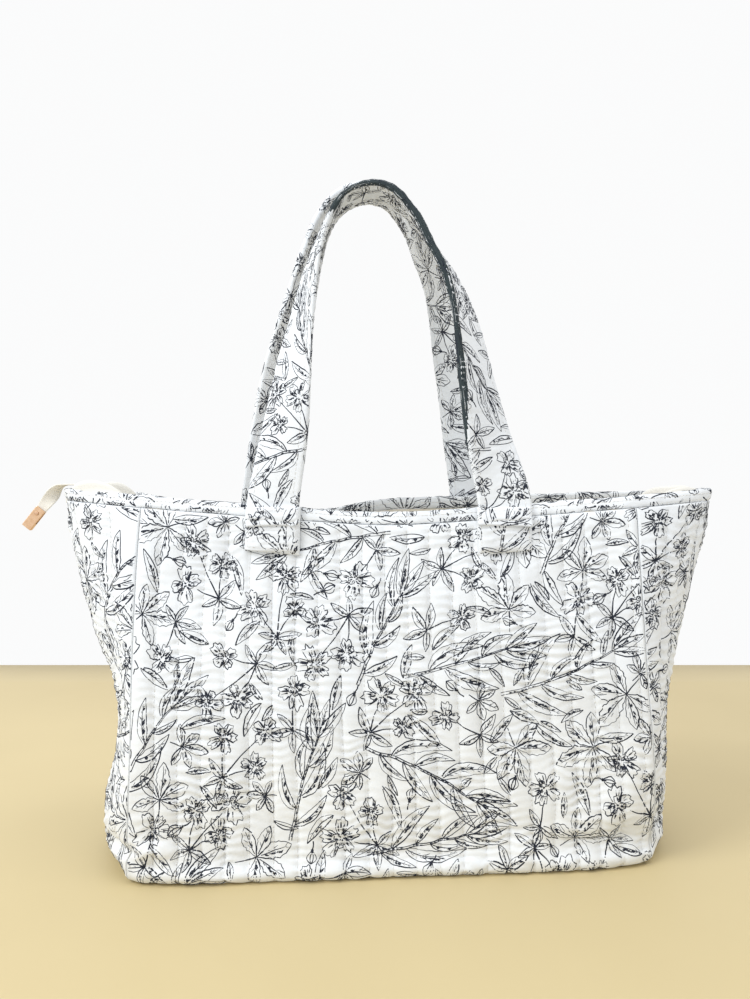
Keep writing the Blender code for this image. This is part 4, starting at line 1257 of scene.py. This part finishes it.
def build_zip_half(word, side):
    """Facing, tape and coil of one side of the stretch that opens."""
    body = word + "_zip_half"
    xs = np.linspace(-ZIP_HALF_LEN, ZIP_HALF_LEN, 260)
    facing, _ = strip(word + "_facing_cloth", xs, lambda x: 0 * x + TAPE_EDGE - 0.0012,
                      lambda x: mouth_inside(x) + 0.0004, lambda x: level_zip(x) + 0.0010,
                      0.0012, FACING_COTTON, side, ripple=0.0009, seed=500 + side)
    tape, face = strip(word + "_tape_weave", xs, lambda x: 0 * x + COIL_Y + 0.0002,
                       lambda x: 0 * x + TAPE_EDGE + 0.0030, level_zip, 0.0007, TAPE, side)
    row = stitches(np.array([(0.0072, 0.001), (0.0072, 0.369)]), 0.0024, 0.0010, 0.0005)
    seam = ribbons(word + "_tape_stitching", face, row, THREAD, lift=0.0003)
    teeth = coil(word + "_coil_loops", np.stack([xs, 0 * xs + side * COIL_Y * 0.72,
                                                 level_zip(xs)], axis=1), side, COIL)
    for made in (tape, seam, teeth):
        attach(made, body)
    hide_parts(word + "_zip_facing")
    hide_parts(word + "_zip_tape")
    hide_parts(word + "_zip_coil")
    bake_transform(facing)


def build_zip_ends():
    """The sewn-in ends past the opening stretch, with their coils and the cloth beside them."""
    first = ZIP_HALF_LEN + 0.0006

    def tape_half(x):
        inner = np.minimum(TAPE_EDGE, mouth_inside(x) - 0.0016)
        past = np.clip((-0.2020 - x) / 0.030, 0, 1)
        return np.where(x < 0, (1 - past) * np.minimum(TAPE_EDGE, mouth_inside(
            np.maximum(x, -0.2020)) - 0.0016) + past * 0.0058, inner)

    for name, node, low, high, level in (
            ("closed_end_tape", "zip_closed_end", first, 0.2238, level_zip),
            ("open_end_tape", "zip_open_end", -0.2492, -first, tail_z)):
        xs = np.linspace(low, high, 60)
        made, _ = strip(name, xs, lambda x: -tape_half(x), tape_half, level, 0.0009, TAPE, -1,
                        ripple=0.0004, seed=520)
        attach(made, "root")
        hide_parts(node)
    for word, side in (("front", FRONT), ("back", BACK)):
        for name, xs, level in ((word + "_closed_coil", np.linspace(first, 0.2145, 40), level_zip),
                                (word + "_open_coil", np.linspace(-first, -0.2115, 40), tail_z)):
            path = np.stack([xs, 0 * xs + side * COIL_Y * 0.72, level(xs) + 0.0004], axis=1)
            made = coil(name + "_loops", path, side, COIL)
            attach(made, "root")
            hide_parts(name)


def facing_roll(name, side, x_from, x_to, lift):
    """Facing cloth bunched up beside the zip in a corner of the mouth."""
    xs = np.linspace(x_from, x_to, 46)
    k = np.linspace(0, 1, len(xs))
    swell = np.sin(math.pi * k) ** 0.5
    inside = np.maximum(mouth_inside(xs), 0.003)
    edge = edge_z(xs, side)
    phi = np.linspace(0, 2 * math.pi, 25)
    radius = 0.0060 * (0.30 + 0.70 * swell)
    y = side * (np.minimum(inside * 0.74, inside - 0.002))
    z = edge - 0.0085 + lift * swell
    wrinkle = (1 + 0.14 * noise(xs, phi, 0.014, 1.3, 540 + side)
               + 0.15 * np.sin(4 * phi[None, :] + 60 * xs[:, None]))
    wrinkle[:, -1] = wrinkle[:, 0]
    rings = np.stack([
        xs[:, None] + 0 * phi,
        y[:, None] + radius[:, None] * wrinkle * np.cos(phi) * 0.8,
        z[:, None] + radius[:, None] * wrinkle * np.sin(phi) * 1.25], axis=-1)
    made = tube(name, sag_back_edge(rings)[:, :-1], FACING_COTTON)
    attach(made, "root")


TAIL_POINTS = [(-0.2490, 0.2690), (-0.2530, 0.2676), (-0.2565, 0.2645), (-0.2620, 0.2575),
               (-0.2680, 0.2500), (-0.2745, 0.2421)]


def build_tail():
    """The free end of the tape: flat over the tip, then on edge down into its metal clip."""
    path = even(np.array(TAIL_POINTS), 0.0006)
    run = arc(path) / arc(path)[-1]
    centre = np.stack([path[:, 0], 0 * run, path[:, 1]], axis=1)
    along = unit(np.gradient(centre, axis=0))
    turn = math.pi / 2 * smooth01(run / 0.62)
    half = np.interp(run, [0, 0.3, 0.6, 0.8, 1], [0.0057, 0.0054, 0.0047, 0.0034, 0.0033])
    across = (np.cos(turn)[:, None] * np.array([0.0, 1.0, 0.0])
              + np.sin(turn)[:, None] * np.stack([-along[:, 2], 0 * run, along[:, 0]], axis=1))
    up = np.cross(across, along)
    k = np.linspace(-1, 1, 13)
    curl = 0.0006 * np.sin(run * 9)[:, None] * k**2
    middle = centre[:, None] + across[:, None] * (half[:, None] * k)[..., None]
    middle = middle + up[:, None] * curl[..., None]
    upper = middle + up[:, None] * 0.0004
    lower = middle - up[:, None] * 0.0004
    tape = shell("tail_tape", upper, lower, TAPE)
    face = Cloth(upper, np.repeat(up[:, None], 13, 1), (k + 1) * 0.0055, arc(path))
    row = [(u, v) for u in (0.0022, 0.0088) for v in (0.001, arc(path)[-1] - 0.001)]
    seam = ribbons("tail_stitching", face, stitches(np.array(row[:2]), 0.0018, 0.0008, 0.0004)
                   + stitches(np.array(row[2:]), 0.0018, 0.0008, 0.0004), THREAD, lift=0.0002)
    for made in (tape, seam):
        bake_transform(made)
    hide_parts("zip_tail")


build_zip_half("front", FRONT)
build_zip_half("back", BACK)
build_zip_ends()
facing_roll("left_front_facing_roll", FRONT, -0.2480, -0.1960, 0.0095)
facing_roll("left_back_facing_roll", BACK, -0.2470, -0.1980, 0.0070)
facing_roll("right_front_facing_roll", FRONT, 0.2000, 0.2440, 0.0035)
facing_roll("right_back_facing_roll", BACK, 0.2000, 0.2440, 0.0035)
build_tail()

for name, surface in (("zip_slider", ROSE_GOLD), ("zip_pull", ROSE_GOLD),
                      ("zip_end_clip", ROSE_GOLD), ("clip_screw", DARK_GOLD)):
    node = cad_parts[name]
    for slot_place in node.material_slots:
        slot_place.material = surface


# ---------------------------------------------------------------- floor, light and camera
TABLE_BACK = 0.587           # where the table top ends behind the bag


def build_stage():
    """A straw-coloured table top round the bag, on a plain pale floor."""
    straw = matt_board("straw_table", (0.565, 0.46, 0.25), (0.615, 0.505, 0.28))
    pale = matt_board("pale_floor", (0.60, 0.60, 0.60), (0.63, 0.63, 0.63))
    for name, half, near, top, surface in (("table_top", 0.66, -0.31, 0.0, straw),
                                           ("floor", 3.0, -2.2, -0.031, pale)):
        grid = np.meshgrid(np.linspace(-half, half, 13), np.linspace(near, TABLE_BACK, 9))
        upper = np.stack([*grid, np.full((9, 13), top)], axis=-1)
        shell(name, upper, upper - np.array([0, 0, 0.03]), surface, flip=True)


def add_light(name, place, aim, size, power, colour):
    light = bpy.data.lights.new(name, "AREA")
    light.shape = "RECTANGLE"
    light.size, light.size_y = size
    light.energy = power
    light.color = colour
    obj = bpy.data.objects.new(name, light)
    obj.location = place
    obj.rotation_euler = (Vector(aim) - Vector(place)).to_track_quat("-Z", "Y").to_euler()
    bpy.context.scene.collection.objects.link(obj)


def build_light_and_camera():
    scene = bpy.context.scene
    scene.view_settings.view_transform = "Standard"
    world = bpy.data.worlds.new("studio")
    world.use_nodes = True
    background = world.node_tree.nodes["Background"]
    background.inputs["Color"].default_value = (0.995, 0.998, 1.0, 1)
    background.inputs["Strength"].default_value = 0.97
    scene.world = world
    add_light("key", (-1.25, -0.75, 1.35), (0, 0, 0.2), (0.8, 0.8), 19, (0.94, 0.97, 1.0))
    add_light("top", (0.5, -0.25, 1.9), (0, 0, 0.2), (0.9, 0.9), 6, (0.97, 0.98, 1.0))
    lens = bpy.data.cameras.new("camera")
    lens.sensor_width = 36.0
    lens.lens = 27.03
    camera = bpy.data.objects.new("camera", lens)
    camera.location = (-0.010, -0.580, 0.2575)
    camera.rotation_euler = (math.radians(90.0), 0, 0)
    scene.collection.objects.link(camera)
    scene.camera = camera


build_stage()
build_light_and_camera()
